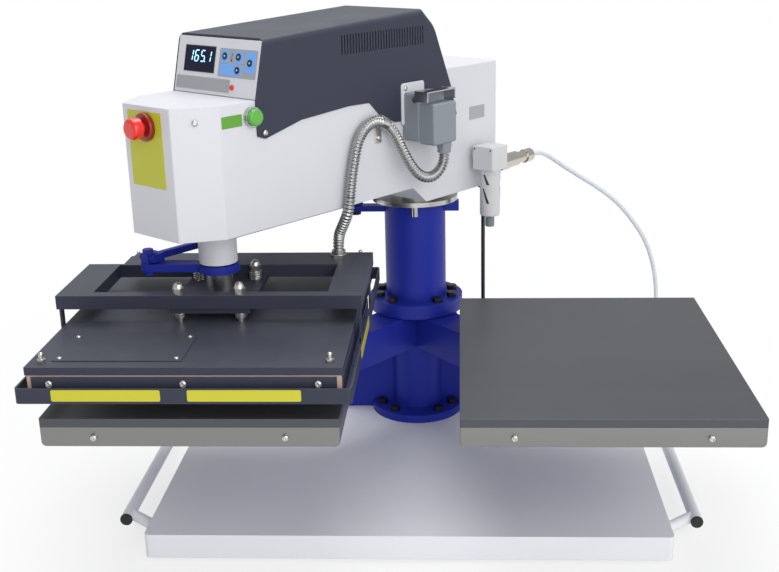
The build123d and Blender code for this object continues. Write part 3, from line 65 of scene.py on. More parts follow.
# Places that the frame gives, in metres
JOINTS = {joint["name"]: joint for joint in frame["joints"]}
SWING_HALF = math.radians(JOINTS["head_swing"]["range_deg"][1]) / 2
HEAD = Matrix.Rotation(-SWING_HALF, 4, "Z")
PRESS_AXIS = Vector(JOINTS["heater_turn"]["pos_m"])
GUARD_LOW, GUARD_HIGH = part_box("guard_rail")
COVER_LOW, COVER_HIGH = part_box("heater_cover")
PLATEN_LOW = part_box("platen_right")[0]

# Flat faces of the head, in its own axes: X to its right, Y to its back
HEAD_SIDE = 0.088
HOOD_SIDE = 0.0905
HEAD_FRONT = -0.560
PANEL_FOOT = (0.0, -0.440, 0.675)
PANEL_SET_BACK, PANEL_RISE = 0.020, 0.083
PANEL_LEAN = math.atan2(PANEL_SET_BACK, PANEL_RISE)
PANEL = HEAD @ Matrix.Translation(PANEL_FOOT) @ Matrix.Rotation(-PANEL_LEAN, 4, "X")
SIDE_FACE = HEAD @ Matrix.Translation((HEAD_SIDE, 0, 0)) @ Matrix.Rotation(math.pi / 2, 4, "Z")
HOOD_FACE = HEAD @ Matrix.Translation((HOOD_SIDE, 0, 0)) @ Matrix.Rotation(math.pi / 2, 4, "Z")
FRONT_FACE = HEAD @ Matrix.Translation((0, HEAD_FRONT, 0))

# The photograph's frame and its camera
PHOTO_WIDTH, PHOTO_HEIGHT = 779, 572
FOCAL_PIXELS = 1141.087
CENTRE_PIXELS = (416.147, 283.33)
CAMERA_AT = (0.08096, -1.9713, 0.9094)
CAMERA_DOWN = 0.308
CAMERA_YAW = -0.041
CAMERA_ROLL = 0.016
SENSOR = 36.0

# Routes of the cords, as the part's source has them
HOSE_EXIT = (0.21006, 0.07147, 0.504)
HOSE_LIES = (0.466, 0.1655, 0.134)
HOSE_POINTS = [
    HOSE_EXIT, (0.22366, 0.08877, 0.504), (0.243, 0.104, 0.494), (0.268, 0.116, 0.474),
    (0.304, 0.130, 0.449), (0.343, 0.141, 0.423), (0.380, 0.149, 0.393), (0.412, 0.155, 0.354),
    (0.437, 0.159, 0.315), (0.453, 0.162, 0.270), (0.461, 0.164, 0.228), (0.464, 0.165, 0.182),
    HOSE_LIES, (0.4675, 0.165, 0.094), (0.469, 0.1655, 0.064), (0.4705, 0.166, 0.041),
    (0.472, 0.1725, 0.0245), (0.473, 0.185, 0.0115), (0.474, 0.2015, 0.004), (0.474, 0.220, 0.004),
]
HOSE_LEAVES = (0.568, 0.314, 0.004)
MAINS_EXIT = (0.12155, 0.03166, 0.435)
MAINS_LIES = (0.12155, 0.03166, 0.150)
MAINS_POINTS = [
    MAINS_EXIT, (0.12155, 0.03166, 0.140), (0.127, 0.035, 0.092), (0.141, 0.043, 0.062),
    (0.162, 0.053, 0.0485), (0.184, 0.0605, 0.0465), (0.204, 0.0645, 0.0465), (0.218, 0.0645, 0.0465),
]
MAINS_LEAVES = (0.218, 0.1555, 0.0465)
HOSE_RADIUS, MAINS_RADIUS, CONDUIT_RADIUS = 0.004, 0.0035, 0.009

# The two coils' centres and outer radii, and the height of the base that the cable's coil lies on
HOSE_COIL, HOSE_COIL_RADIUS = (0.526, 0.262), 0.052
MAINS_COIL, MAINS_COIL_RADIUS = (0.260, 0.110), 0.0455
BASE_TOP = 0.043

# Turns of the two coils: after so many turns, so many cords in from the outer turn and so many layers up
HOSE_WINDING = [
    (0.0, 0, 0), (0.3, 1, 0), (1.2, 1, 0), (1.45, 2, 0), (2.2, 2, 0), (2.45, 1.5, 0.9), (3.1, 1.5, 0.9),
    (3.4, 0, 0), (3.85, 0, 0), (4.0, 0, 1), (4.18, 0, 0), (4.25, 0, 0),
]
MAINS_WINDING = [
    (0.0, 0, 0), (0.3, 1, 0), (1.25, 1, 0), (1.5, 2, 0), (2.3, 2, 0), (2.55, 2, 1), (3.3, 2, 1), (3.6, 1, 1),
    (4.4, 1, 1), (4.7, 1.5, 1.9), (5.2, 1.5, 1.9), (5.5, 0, 0), (5.85, 0, 0), (6.0, 0, 1), (6.18, 0, 0),
    (6.5, 0, 0),
]
POINTS_PER_TURN = 16

# The conduit's route in the head's own axes
CONDUIT_UPPER = [
    (0.1355, -0.0835, 0.552), (0.1355, -0.0835, 0.538), (0.1345, -0.095, 0.522), (0.131, -0.114, 0.514),
    (0.126, -0.134, 0.520), (0.120, -0.148, 0.538), (0.113, -0.158, 0.562), (0.106, -0.166, 0.586),
    (0.1015, -0.180, 0.606), (0.0995, -0.203, 0.617), (0.0995, -0.228, 0.611), (0.0995, -0.247, 0.592),
    (0.0995, -0.257, 0.563), (0.0995, -0.2655, 0.530), (0.100, -0.2695, 0.508),
]
CONDUIT_LOWER = [
    CONDUIT_UPPER[-1], (0.1005, -0.2735, 0.486), (0.084, -0.2705, 0.460), (0.0672, -0.2651, 0.439),
    (0.0672, -0.2651, 0.417),
]
# The point of the upper length that the conduit's clip comes after
CLIP_AFTER = 8

# Segments of a digit, as ends on a grid two cells high
SEGMENTS = {
    "a": ((0, 2), (1, 2)), "b": ((1, 2), (1, 1)), "c": ((1, 1), (1, 0)), "d": ((0, 0), (1, 0)),
    "e": ((0, 1), (0, 0)), "f": ((0, 2), (0, 1)), "g": ((0, 1), (1, 1)),
}
DIGITS = {
    "0": "abcdef", "1": "bc", "2": "abged", "3": "abgcd", "4": "fgbc", "5": "afgcd", "6": "afgecd",
    "7": "abc", "8": "abcdefg", "9": "abcdfg",
}

# Screws and nuts: radius and height of each head, how far out its seat is, and half the studs' spacing
PLATEN_SCREW = (0.0046, 0.0032)
HEATER_SCREW = (0.005, 0.0036)
PANEL_SCREW = (0.0034, 0.002)
HEAD_SCREW = (0.0043, 0.003)
STUD_NUT = (0.0074, 0.0095)
COVER_NUT = (0.0034, 0.003)
SEAT = 0.0015
CONNECTOR_PLATE = 0.0018
CLIP_FOOT = 0.0016
STUD_SIDE = 0.044

LAMP_AIM = Vector((0, -0.2, 0.35))


def srgb(red, green, blue):
    """A screen colour, 0 to 255, as Blender's linear one."""
    values = []
    for value in (red, green, blue):
        share = value / 255
        values.append(share / 12.92 if share <= 0.04045 else ((share + 0.055) / 1.055) ** 2.4)
    return tuple(values)


def paint_property(name, description, *screen):
    """A colour setting, from red, green and blue as a screen has them."""
    return bpy.props.FloatVectorProperty(
        name=name, description=description, subtype="COLOR", default=srgb(*screen),
    )


class PressColours(bpy.types.PropertyGroup):
    head: paint_property("Head", "Powder coat of the head", 210, 211, 216)
    base: paint_property("Base", "Powder coat of the base box and rails", 228, 229, 234)
    blue: paint_property("Column", "Gloss paint of the column and arms", 32, 45, 150)
    slate: paint_property("Hood and heater", "Powder coat of the hood, frame and heater", 52, 56, 70)
    label: paint_property("Plain labels", "Foil of the bare yellow labels", 196, 190, 40)
    front_label: paint_property("Plain front label", "Foil behind the stop button", 188, 190, 48)
    start: paint_property("Start button", "Plastic of the start button", 88, 168, 62)
    stop: paint_property("Stop button", "Plastic of the stop button", 224, 36, 28)


class PressSizes(bpy.types.PropertyGroup):
    rib_pitch: bpy.props.FloatProperty(
        name="Rib pitch", description="Distance from one rib of the conduit to the next", default=0.0052,
        unit="LENGTH",
    )
    rib_depth: bpy.props.FloatProperty(
        name="Rib depth", description="Height of a rib over its groove", default=0.002, unit="LENGTH",
    )
    foil: bpy.props.FloatProperty(
        name="Label thickness", description="How far a label stands out", default=0.0005, unit="LENGTH",
    )
    digit_height: bpy.props.FloatProperty(
        name="Digit height", description="Height of the digits on the display", default=0.0155, unit="LENGTH",
    )
    reading: bpy.props.StringProperty(
        name="Reading", description="Plain number on the display", default="165.1",
    )


def sizes():
    return bpy.context.scene.press_sizes


def colours():
    return bpy.context.scene.press_colours


# Node trees
def new_tree(name, tree_kind, inputs, outputs):
    """A node tree with named sockets: their names, their kinds and, for some, their defaults."""
    tree = bpy.data.node_groups.new(name, tree_kind)
    for way, sockets in (("INPUT", inputs), ("OUTPUT", outputs)):
        for label, kind, *default in sockets:
            socket = tree.interface.new_socket(label, in_out=way, socket_type=f"NodeSocket{kind}")
            if default:
                socket.default_value = default[0]
    return tree, tree.nodes.new("NodeGroupInput"), tree.nodes.new("NodeGroupOutput")


def add_node(tree, kind, values=None, **settings):
    node = tree.nodes.new(kind)
    for key, value in settings.items():
        setattr(node, key, value)
    for key, value in (values or {}).items():
        node.inputs[key].default_value = value
    return node


def join(tree, *links):
    """Links nodes: each link is a node and its output, then a node and its input."""
    for source, output, target, entry in links:
        tree.links.new(source.outputs[output], target.inputs[entry])


def math_node(tree, operation, first, second=None):
    """A math node fed by sockets or plain numbers."""
    node = add_node(tree, "ShaderNodeMath", operation=operation)
    for place, value in enumerate((first, second)):
        if isinstance(value, bpy.types.NodeSocket):
            tree.links.new(value, node.inputs[place])
        elif value is not None:
            node.inputs[place].default_value = value
    return node.outputs[0]


def seen_by(tree, *kinds):
    """One for rays of these kinds, and nought for the others."""
    rays = add_node(tree, "ShaderNodeLightPath")
    seen = rays.outputs[kinds[0]]
    for kind in kinds[1:]:
        seen = math_node(tree, "MAXIMUM", seen, rays.outputs[kind])
    return seen


def grain_group():
    """Fine grain and slow unevenness of a coated or cast surface."""
    tree, start, end = new_tree(
        "Surface grain", "ShaderNodeTree",
        [("Vector", "Vector"), ("Grain scale", "Float", 900.0), ("Cloud scale", "Float", 6.0)],
        [("Height", "Float"), ("Shade", "Float")],
    )
    fine = add_node(tree, "ShaderNodeTexNoise", {"Detail": 3.0, "Roughness": 0.55})
    slow = add_node(tree, "ShaderNodeTexNoise", {"Detail": 4.0, "Roughness": 0.6})
    for node, scale in ((fine, "Grain scale"), (slow, "Cloud scale")):
        join(tree, (start, "Vector", node, "Vector"), (start, scale, node, "Scale"))
    join(tree, (fine, "Fac", end, "Height"), (slow, "Fac", end, "Shade"))
    return tree


def edge_group():
    """Normals that round a sharp edge off, and a mask of where they do."""
    tree, start, end = new_tree(
        "Soft edges", "ShaderNodeTree",
        [("Radius", "Float", 0.0008)], [("Normal", "Vector"), ("Edge", "Float")],
    )
    bevel = add_node(tree, "ShaderNodeBevel", samples=6)
    geometry = add_node(tree, "ShaderNodeNewGeometry")
    dot = add_node(tree, "ShaderNodeVectorMath", operation="DOT_PRODUCT")
    join(
        tree, (start, "Radius", bevel, "Radius"), (bevel, "Normal", end, "Normal"),
        (bevel, "Normal", dot, 0), (geometry, "Normal", dot, 1),
    )
    apart = math_node(tree, "SUBTRACT", 1.0, dot.outputs["Value"])
    gained = math_node(tree, "MULTIPLY", apart, 6.0)
    tree.links.new(math_node(tree, "MINIMUM", gained, 1.0), end.inputs["Edge"])
    return tree


def dust_group():
    """A mask of thin dust on faces that look up."""
    tree, start, end = new_tree(
        "Dust", "ShaderNodeTree", [("Vector", "Vector"), ("Amount", "Float", 0.2)], [("Mask", "Float")],
    )
    geometry = add_node(tree, "ShaderNodeNewGeometry")
    parts = add_node(tree, "ShaderNodeSeparateXYZ")
    noise = add_node(tree, "ShaderNodeTexNoise", {"Scale": 14.0, "Detail": 6.0, "Roughness": 0.65})
    join(tree, (geometry, "Normal", parts, 0), (start, "Vector", noise, "Vector"))
    up = math_node(tree, "MAXIMUM", parts.outputs["Z"], 0.0)
    mask = math_node(tree, "MULTIPLY", up, noise.outputs["Fac"])
    tree.links.new(math_node(tree, "MULTIPLY", mask, start.outputs["Amount"]), end.inputs["Mask"])
    return tree


def tree_named(name):
    """A tree of this script, made when it is first asked for."""
    makers = {
        "Surface grain": grain_group, "Soft edges": edge_group, "Dust": dust_group,
        "Set on points": scatter_tree, "Ribbed tube": rib_tree,
    }
    return bpy.data.node_groups.get(name) or makers[name]()


def add_group(tree, name, **values):
    node = add_node(tree, "ShaderNodeGroup", node_tree=tree_named(name))
    for label, value in values.items():
        node.inputs[label.replace("_", " ").capitalize()].default_value = value
    return node


def blend_colour(tree, factor, first, second):
    """A colour between two, each a socket or a plain colour."""
    node = add_node(tree, "ShaderNodeMix", data_type="RGBA")
    # A Mix node has sockets of the same names for every kind of data
    factor_in = next(s for s in node.inputs if s.name == "Factor" and s.type == "VALUE")
    first_in, second_in = [s for s in node.inputs if s.name in "AB" and s.type == "RGBA"]
    for socket, value in ((factor_in, factor), (first_in, first), (second_in, second)):
        if isinstance(value, bpy.types.NodeSocket):
            tree.links.new(value, socket)
        else:
            socket.default_value = (*value, 1.0)
    return next(s for s in node.outputs if s.type == "RGBA")


def scaled(colour, share):
    return tuple(min(1.0, value * share) for value in colour)


def surface(
    name, colour, rough, metallic=0.0, stretch=(1.0, 1.0, 1.0), grain=900.0, cloud=6.0, bump=0.05, shade=0.05,
    edge=0.0, edge_highlight_colour=None, radius=0.0008, dust=0.0, coat=0.0, specular=0.5,
):
    """A coated, cast or brushed finish with grain, soft edges, a painted highlight along its edges and a
    little dust.
    """
    material = bpy.data.materials.new(f"finish_{name}")
    material.use_nodes = True
    tree = material.node_tree
    shader = tree.nodes["Principled BSDF"]
    place = add_node(tree, "ShaderNodeTexCoord")
    mapping = add_node(tree, "ShaderNodeMapping", {"Scale": stretch})
    texture = add_group(tree, "Surface grain", grain_scale=grain, cloud_scale=cloud)
    join(tree, (place, "Object", mapping, "Vector"), (mapping, "Vector", texture, "Vector"))
    dark, light = scaled(colour, 1 - shade), scaled(colour, 1 + shade)
    base = blend_colour(tree, texture.outputs["Shade"], dark, light)
    if radius:
        edges = add_group(tree, "Soft edges", radius=radius)
        # Edges turn to the edge colour or to a lighter tint of the paint: a painted highlight.
        if edge:
            edge_highlight = math_node(tree, "MULTIPLY", edges.outputs["Edge"], edge)
            base = blend_colour(tree, edge_highlight, base, edge_highlight_colour or scaled(colour, 1.6))
    if dust:
        mask = add_group(tree, "Dust", amount=dust)
        join(tree, (place, "Object", mask, "Vector"))
        base = blend_colour(tree, mask.outputs["Mask"], base, srgb(176, 174, 170))
    tree.links.new(base, shader.inputs["Base Color"])
    unevenness = 0.16
    spread = math_node(tree, "MULTIPLY", texture.outputs["Shade"], unevenness)
    tree.links.new(math_node(tree, "ADD", spread, rough - unevenness / 2), shader.inputs["Roughness"])
    if bump:
        relief = add_node(tree, "ShaderNodeBump", {"Strength": bump, "Distance": 0.001})
        join(tree, (texture, "Height", relief, "Height"), (relief, "Normal", shader, "Normal"))
        if radius:
            join(tree, (edges, "Normal", relief, "Normal"))
    for label, value in (
        ("Metallic", metallic), ("Coat Weight", coat), ("Coat Roughness", 0.15),
        ("Specular IOR Level", specular),
    ):
        shader.inputs[label].default_value = value
    return material


def lit_surface(name, colour, strength):
    """The light of the display's segments."""
    shader = surface(name, colour, 0.4).node_tree.nodes["Principled BSDF"]
    shader.inputs["Emission Color"].default_value = (*colour, 1.0)
    shader.inputs["Emission Strength"].default_value = strength


def make_finishes():
    """Makes every finish of the machine."""
    paint = colours()
    # The edge amounts and edge colours below paint a highlight along each piece's edges.
    surface("head_paint", paint.head, 0.42, bump=0.06, shade=0.015, edge=0.25, dust=0.04, grain=1400.0)
    surface("base_paint", paint.base, 0.45, bump=0.06, shade=0.03, edge=0.2, dust=0.08, grain=1400.0)
    surface(
        "column_paint", paint.blue, 0.42, bump=0.08, shade=0.08, edge=0.12, grain=500.0,
        edge_highlight_colour=srgb(92, 98, 190), specular=0.22,
    )
    surface(
        "slate_paint", paint.slate, 0.42, bump=0.09, shade=0.05, edge=0.35, grain=1100.0,
        edge_highlight_colour=srgb(128, 132, 146), dust=0.1, specular=0.25,
    )
    surface(
        "platen_steel", srgb(138, 138, 136), 0.36, metallic=0.9, stretch=(0.04, 1.0, 1.0), grain=700.0,
        cloud=18.0, bump=0.12, shade=0.1, edge=0.3, edge_highlight_colour=srgb(205, 204, 200),
    )
    surface(
        "pad_face", srgb(80, 83, 88), 0.36, metallic=0.55, stretch=(0.05, 1.0, 1.0), grain=420.0,
        cloud=9.0, bump=0.08, shade=0.2, edge=0.3, edge_highlight_colour=srgb(150, 152, 154), dust=0.04,
    )
    surface("black_steel", srgb(28, 28, 30), 0.4, metallic=0.4, bump=0.1, edge=0.3)
    surface(
        "turned_steel", (0.58, 0.57, 0.55), 0.24, metallic=1.0, stretch=(1.0, 1.0, 12.0), grain=260.0,
        bump=0.06,
    )
    surface("zinc", (0.62, 0.61, 0.58), 0.27, metallic=1.0, grain=700.0, shade=0.08)
    surface("nickel", (0.63, 0.59, 0.52), 0.2, metallic=1.0, bump=0.03, shade=0.08)
    surface("chrome", (0.5, 0.5, 0.51), 0.2, metallic=1.0, bump=0.02, shade=0.03)
    surface(
        "alloy", (0.55, 0.55, 0.56), 0.33, metallic=1.0, stretch=(0.05, 1.0, 1.0), grain=500.0, bump=0.06,
    )
    surface("conduit_steel", (0.42, 0.42, 0.42), 0.26, metallic=1.0, grain=800.0, shade=0.12, radius=0.0)
    surface("insulation", srgb(190, 160, 148), 0.85, bump=0.4, shade=0.1, grain=350.0)
    surface("rubber", srgb(32, 32, 34), 0.7, bump=0.15, shade=0.1, grain=700.0)
    surface("cable", srgb(24, 24, 26), 0.5, shade=0.06, radius=0.0)
    surface("black_plastic", srgb(26, 26, 28), 0.42, bump=0.1, shade=0.08, grain=1500.0)
    surface("connector_grey", srgb(132, 138, 146), 0.45, bump=0.15, shade=0.06, grain=1500.0, edge=0.3)
    surface("filter_grey", srgb(205, 206, 207), 0.4, bump=0.08, shade=0.03, grain=1500.0)
    surface("drain_grey", srgb(118, 130, 132), 0.45, bump=0.08)
    surface("stop_red", paint.stop, 0.22, bump=0.02, shade=0.03, coat=0.5)
    surface("dark_red", srgb(138, 22, 20), 0.3, bump=0.04, shade=0.06, coat=0.3)
    surface("start_green", paint.start, 0.28, bump=0.03, shade=0.04, coat=0.3)
    surface("display_glass", srgb(14, 18, 48), 0.25, bump=0.0, specular=0.25)
    lit_surface("display_light", srgb(168, 222, 255), strength=1.2)
    for name, colour in (
        ("label_yellow", paint.label), ("label_olive", paint.front_label), ("label_green", srgb(92, 156, 52)),
        ("keypad_blue", srgb(112, 168, 240)),
    ):
        surface(name, colour, 0.35, bump=0.02, shade=0.03, radius=0.0002)
    surface("label_grey", srgb(166, 168, 172), 0.34, metallic=0.3, bump=0.03, shade=0.03, radius=0.0002)
    surface("hose", srgb(206, 211, 217), 0.3, bump=0.0, shade=0.03, radius=0.0, coat=0.2)
    # Dark colour of the filter's slots: painted shade in the openings.
    surface("dark_slot", srgb(44, 46, 50), 0.6, radius=0.0002)


FINISH_OF = {
    "head_paint": ["head_shell", "display_panel", "rod_cover"],
    "base_paint": ["base_tray", "side_rails"],
    "column_paint": ["column_foot", "column_tube", "rod_arm", "parallel_link", "elbow_fork"],
    "slate_paint": ["hood", "upper_frame", "guard_rail", "heater_cover", "heater_panels"],
    "platen_steel": ["platen_left", "platen_right"],
    "pad_face": ["platen_pad_left", "platen_pad_right"],
    "black_steel": ["base_fixings", "anchor_bolt"],
    "turned_steel": ["swing_spindle", "swing_hub", "piston_rod", "turn_bush"],
    "zinc": ["head_fixings", "heater_bolts", "frame_gland"],
    "alloy": ["press_cylinder", "heater_plate"],
    "insulation": ["insulation"],
    "rubber": ["base_feet", "rail_end_caps"],
    "cable": ["mains_cable", "mains_coil"],
    "black_plastic": ["mains_plug", "mains_gland", "key_1", "key_2", "key_3", "key_4"],
    "connector_grey": ["connector_base", "connector_hood"],
    "filter_grey": ["filter_body", "filter_bowl"],
    "drain_grey": ["filter_drain"],
    "stop_red": ["estop_head", "estop_stem", "indicator_lamp"],
    "dark_red": ["estop_base"],
    "start_green": ["start_button"],
    "display_glass": ["display_window"],
    "nickel": ["air_fittings", "hose_nipple"],
    "chrome": ["connector_lever", "start_bezel"],
    "conduit_steel": ["conduit_upper", "conduit_lower"],
    "hose": ["hose", "hose_coil"],
}


def finish(name):
    return bpy.data.materials[f"finish_{name}"]


# Mesh helpers
def new_object(name, bm):
    """A mesh object with its faces pointing outwards."""
    bmesh.ops.remove_doubles(bm, verts=bm.verts, dist=1e-6)
    bmesh.ops.recalc_face_normals(bm, faces=bm.faces)
    mesh = bpy.data.meshes.new(name)
    bm.to_mesh(mesh)
    bm.free()
    obj = bpy.data.objects.new(name, mesh)
    bpy.context.scene.collection.objects.link(obj)
    return obj


def settle(obj, body, slot, material=None, sharp=40.0):
    """Gives a finished piece its body and its finish, which has the slot's name unless another is given."""
    obj.data.materials.clear()
    obj.data.materials.append(finish(material or slot))
    obj.data.shade_smooth()
    obj.data.set_sharp_from_angle(angle=math.radians(sharp))
    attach(obj, body)


def loft(bm, rings, caps=True):
    """Joins rings of points with quads, and closes both ends."""
    rows = [[bm.verts.new(point) for point in ring] for ring in rings]
    for low, high in zip(rows, rows[1:]):
        for k in range(len(low)):
            n = (k + 1) % len(low)
            bm.faces.new((low[k], low[n], high[n], high[k]))
    if caps:
        bm.faces.new(list(reversed(rows[0])))
        bm.faces.new(rows[-1])


def polar(radius, angle, height):
    return Vector((radius * math.cos(angle), radius * math.sin(angle), height))


def turned(bm, place, profile, steps=28, closed=False):
    """A round piece about the Z axis of place, from pairs of radius and height."""
    rows = []
    for radius, height in profile:
        corners = steps if radius else 1
        angles = [2 * math.pi * k / steps for k in range(corners)]
        rows.append([bm.verts.new(place @ polar(radius, angle, height)) for angle in angles])
    pairs = list(zip(rows, rows[1:])) + ([(rows[-1], rows[0])] if closed else [])
    for low, high in pairs:
        for k in range(steps):
            n = (k + 1) % steps
            corners = [low[k % len(low)], low[n % len(low)], high[n % len(high)], high[k % len(high)]]
            bm.faces.new(list(dict.fromkeys(corners)))


def rounded(x0, x1, z0, z1, corner, steps=6):
    """The outline of a rectangle with round corners."""
    points = []
    centres = ((x1 - corner, z1 - corner), (x0 + corner, z1 - corner), (x0 + corner, z0 + corner))
    for quarter, (x, z) in enumerate((*centres, (x1 - corner, z0 + corner))):
        for k in range(steps + 1):
            angle = math.pi / 2 * (quarter + k / steps)
            points.append((x + corner * math.cos(angle), z + corner * math.sin(angle)))
    return points


def on_face(place, outline, y):
    """An outline on a face whose outward side is -Y in place."""
    return [place @ Vector((x, y, z)) for x, z in outline]


def add_plate(bm, place, x0, x1, z0, z1, proud, corner=0.001, edge=0.0002):
    """A thin plate on a face, with a softened front edge."""
    outline = rounded(x0, x1, z0, z1, corner)
    inner = rounded(x0 + edge, x1 - edge, z0 + edge, z1 - edge, max(corner - edge, edge))
    rings = ((outline, 0.0), (outline, edge - proud), (inner, -proud))
    loft(bm, [on_face(place, points, y) for points, y in rings])


def plate_piece(name, place, bounds, proud, body, slot, material=None, corner=0.001):
    bm = bmesh.new()
    add_plate(bm, place, *bounds, proud, corner)
    settle(new_object(name, bm), body, slot, material)


def along(direction, at):
    """A place whose Z axis points along a direction."""
    turn = Vector(direction).to_track_quat("Z", "Y").to_matrix().to_4x4()
    return Matrix.Translation(at) @ turn


def nurbs_route(points, resolution):
    """One open NURBS spline from the first point to the last, as an object of its own."""
    curve = bpy.data.curves.new("route", "CURVE")
    curve.dimensions = "3D"
    spline = curve.splines.new("NURBS")
    spline.points.add(len(points) - 1)
    for control, point in zip(spline.points, points):
        control.co = (*point, 1.0)
    spline.order_u = 3
    spline.use_endpoint_u = True
    spline.resolution_u = resolution
    return bpy.data.objects.new("route", curve)


def spline_points(points, resolution):
    """The smooth line of a NURBS route, as a list of points."""
    holder = nurbs_route(points, resolution)
    mesh = bpy.data.meshes.new_from_object(holder)
    line = [vertex.co.copy() for vertex in mesh.vertices]
    bpy.data.meshes.remove(mesh)
    bpy.data.curves.remove(holder.data)
    return line


def add_tube(bm, line, radius, sides=24):
    """A round tube that follows a line without twisting, closed at both ends."""
    directions = []
    for k in range(len(line)):
        before, after = line[max(k - 1, 0)], line[min(k + 1, len(line) - 1)]
        directions.append((after - before).normalized())
    across = directions[0].orthogonal().normalized()
    rings = []
    for point, direction in zip(line, directions):
        across = (across - direction * across.dot(direction)).normalized()
        beside = direction.cross(across)
        ring = []
        for k in range(sides):
            angle = 2 * math.pi * k / sides
            ring.append(point + radius * (math.cos(angle) * across + math.sin(angle) * beside))
        rings.append(ring)
    loft(bm, rings)


# Geometry Nodes
def start_tree(name, inputs):
    """A Geometry Nodes tree that has these inputs after its geometry."""
    shape = ("Geometry", "Geometry")
    return new_tree(name, "GeometryNodeTree", [shape, *inputs], [shape])


def end_tree(tree, start, end, last, output):
    """Ends a tree with plain geometry in the material that its input gives."""
    real = add_node(tree, "GeometryNodeRealizeInstances")
    coat = add_node(tree, "GeometryNodeSetMaterial")
    join(
        tree, (last, output, real, "Geometry"), (real, "Geometry", coat, "Geometry"),
        (start, "Material", coat, "Material"), (coat, "Geometry", end, "Geometry"),
    )
    return tree


def scatter_tree():
    """Sets one small piece on every point, turned to the way that the point faces."""
    tree, start, end = start_tree(
        "Set on points", [("Piece", "Object"), ("Seed", "Int"), ("Material", "Material")],
    )
    facing = add_node(tree, "GeometryNodeInputNamedAttribute", {"Name": "facing"}, data_type="FLOAT_VECTOR")
    align = add_node(tree, "FunctionNodeAlignRotationToVector", axis="Z")
    spin = add_node(tree, "FunctionNodeRandomValue", data_type="FLOAT")
    low, high = [s for s in spin.inputs if s.name in ("Min", "Max") and s.type == "VALUE"]
    low.default_value, high.default_value = 0.0, 2 * math.pi
    about = add_node(tree, "FunctionNodeAxisAngleToRotation", {"Axis": (0.0, 0.0, 1.0)})
    turn = add_node(tree, "FunctionNodeRotateRotation", rotation_space="LOCAL")
    piece = add_node(tree, "GeometryNodeObjectInfo")
    setting = add_node(tree, "GeometryNodeInstanceOnPoints")
    tree.links.new([s for s in facing.outputs if s.enabled][0], align.inputs["Vector"])
    tree.links.new([s for s in spin.outputs if s.type == "VALUE"][0], about.inputs["Angle"])
    join(
        tree, (start, "Seed", spin, "Seed"), (align, "Rotation", turn, "Rotation"),
        (about, "Rotation", turn, "Rotate By"), (start, "Piece", piece, "Object"),
        (start, "Geometry", setting, "Points"), (piece, "Geometry", setting, "Instance"),
        (turn, "Rotation", setting, "Rotation"),
    )
    return end_tree(tree, start, end, setting, "Instances")


def rib_tree():
    """A tube along a route whose radius rises and falls with its length."""
    tree, start, end = start_tree(
        "Ribbed tube",
        [("Route", "Object"), ("Radius", "Float"), ("Depth", "Float"), ("Pitch", "Float"),
         ("Material", "Material")],
    )
    route = add_node(tree, "GeometryNodeObjectInfo")
    fine = add_node(tree, "GeometryNodeResampleCurve", mode="LENGTH")
    place = add_node(tree, "GeometryNodeSplineParameter")
    circle = add_node(tree, "GeometryNodeCurvePrimitiveCircle", {"Resolution": 20, "Radius": 1.0})
    tube = add_node(tree, "GeometryNodeCurveToMesh", {"Fill Caps": True})
    rings_per_rib = 7.0
    pitch = start.outputs["Pitch"]
    tree.links.new(math_node(tree, "DIVIDE", pitch, rings_per_rib), fine.inputs["Length"])
    turns = math_node(tree, "DIVIDE", place.outputs["Length"], pitch)
    wave = math_node(tree, "COSINE", math_node(tree, "MULTIPLY", turns, 2 * math.pi))
    lift = math_node(tree, "MULTIPLY", math_node(tree, "SUBTRACT", wave, 1.0), 0.5)
    rise = math_node(tree, "MULTIPLY", lift, start.outputs["Depth"])
    radius = math_node(tree, "ADD", start.outputs["Radius"], rise)
    tree.links.new(radius, tube.inputs["Scale"])
    join(
        tree, (start, "Route", route, "Object"), (route, "Geometry", fine, "Curve"),
        (fine, "Curve", tube, "Curve"), (circle, "Curve", tube, "Profile Curve"),
    )
    return end_tree(tree, start, end, tube, "Mesh")


def grown(name, start_mesh, tree_name, values):
    """The plain mesh that a tree makes out of a starting mesh and its named inputs."""
    holder = bpy.data.objects.new("holder", start_mesh)
    bpy.context.scene.collection.objects.link(holder)
    modifier = holder.modifiers.new("nodes", "NODES")
    tree = tree_named(tree_name)
    sockets = {s.name: s.identifier for s in tree.interface.items_tree if s.in_out == "INPUT"}
    modifier.node_group = tree
    for label, value in values.items():
        modifier[sockets[label]] = value
    bpy.context.view_layer.update()
    shown = holder.evaluated_get(bpy.context.evaluated_depsgraph_get())
    mesh = bpy.data.meshes.new_from_object(shown)
    mesh.name = name
    holder.modifiers.remove(modifier)
    bpy.data.objects.remove(holder)
    obj = bpy.data.objects.new(name, mesh)
    bpy.context.scene.collection.objects.link(obj)
    return obj


def scatter(name, shape, places, body, seed):
    """Plated copies of one small shape, a function that fills a bmesh, at (point, direction) places."""
    bm = bmesh.new()
    shape(bm)
    pattern = new_object("pattern", bm)
    mesh = bpy.data.meshes.new("points")
    mesh.from_pydata([point for point, direction in places], [], [])
    attribute = mesh.attributes.new("facing", "FLOAT_VECTOR", "POINT")
    for item, (point, direction) in zip(attribute.data, places):
        item.vector = direction
    values = {"Piece": pattern, "Seed": seed, "Material": finish("zinc")}
    obj = grown(name, mesh, "Set on points", values)
    bpy.data.objects.remove(pattern)
    settle(obj, body, "bright_steel", "zinc")


def pan_head(radius, height):
    """A pan-head screw with a socket."""
    def shape(bm):
        turned(bm, Matrix.Identity(4), [
            (0, -0.0004), (radius, -0.0004), (radius, 0.35 * height), (0.93 * radius, 0.62 * height),
            (0.76 * radius, 0.86 * height), (0.5 * radius, height), (0.42 * radius, height),
            (0.38 * radius, 0.45 * height), (0, 0.4 * height),
        ])
    return shape


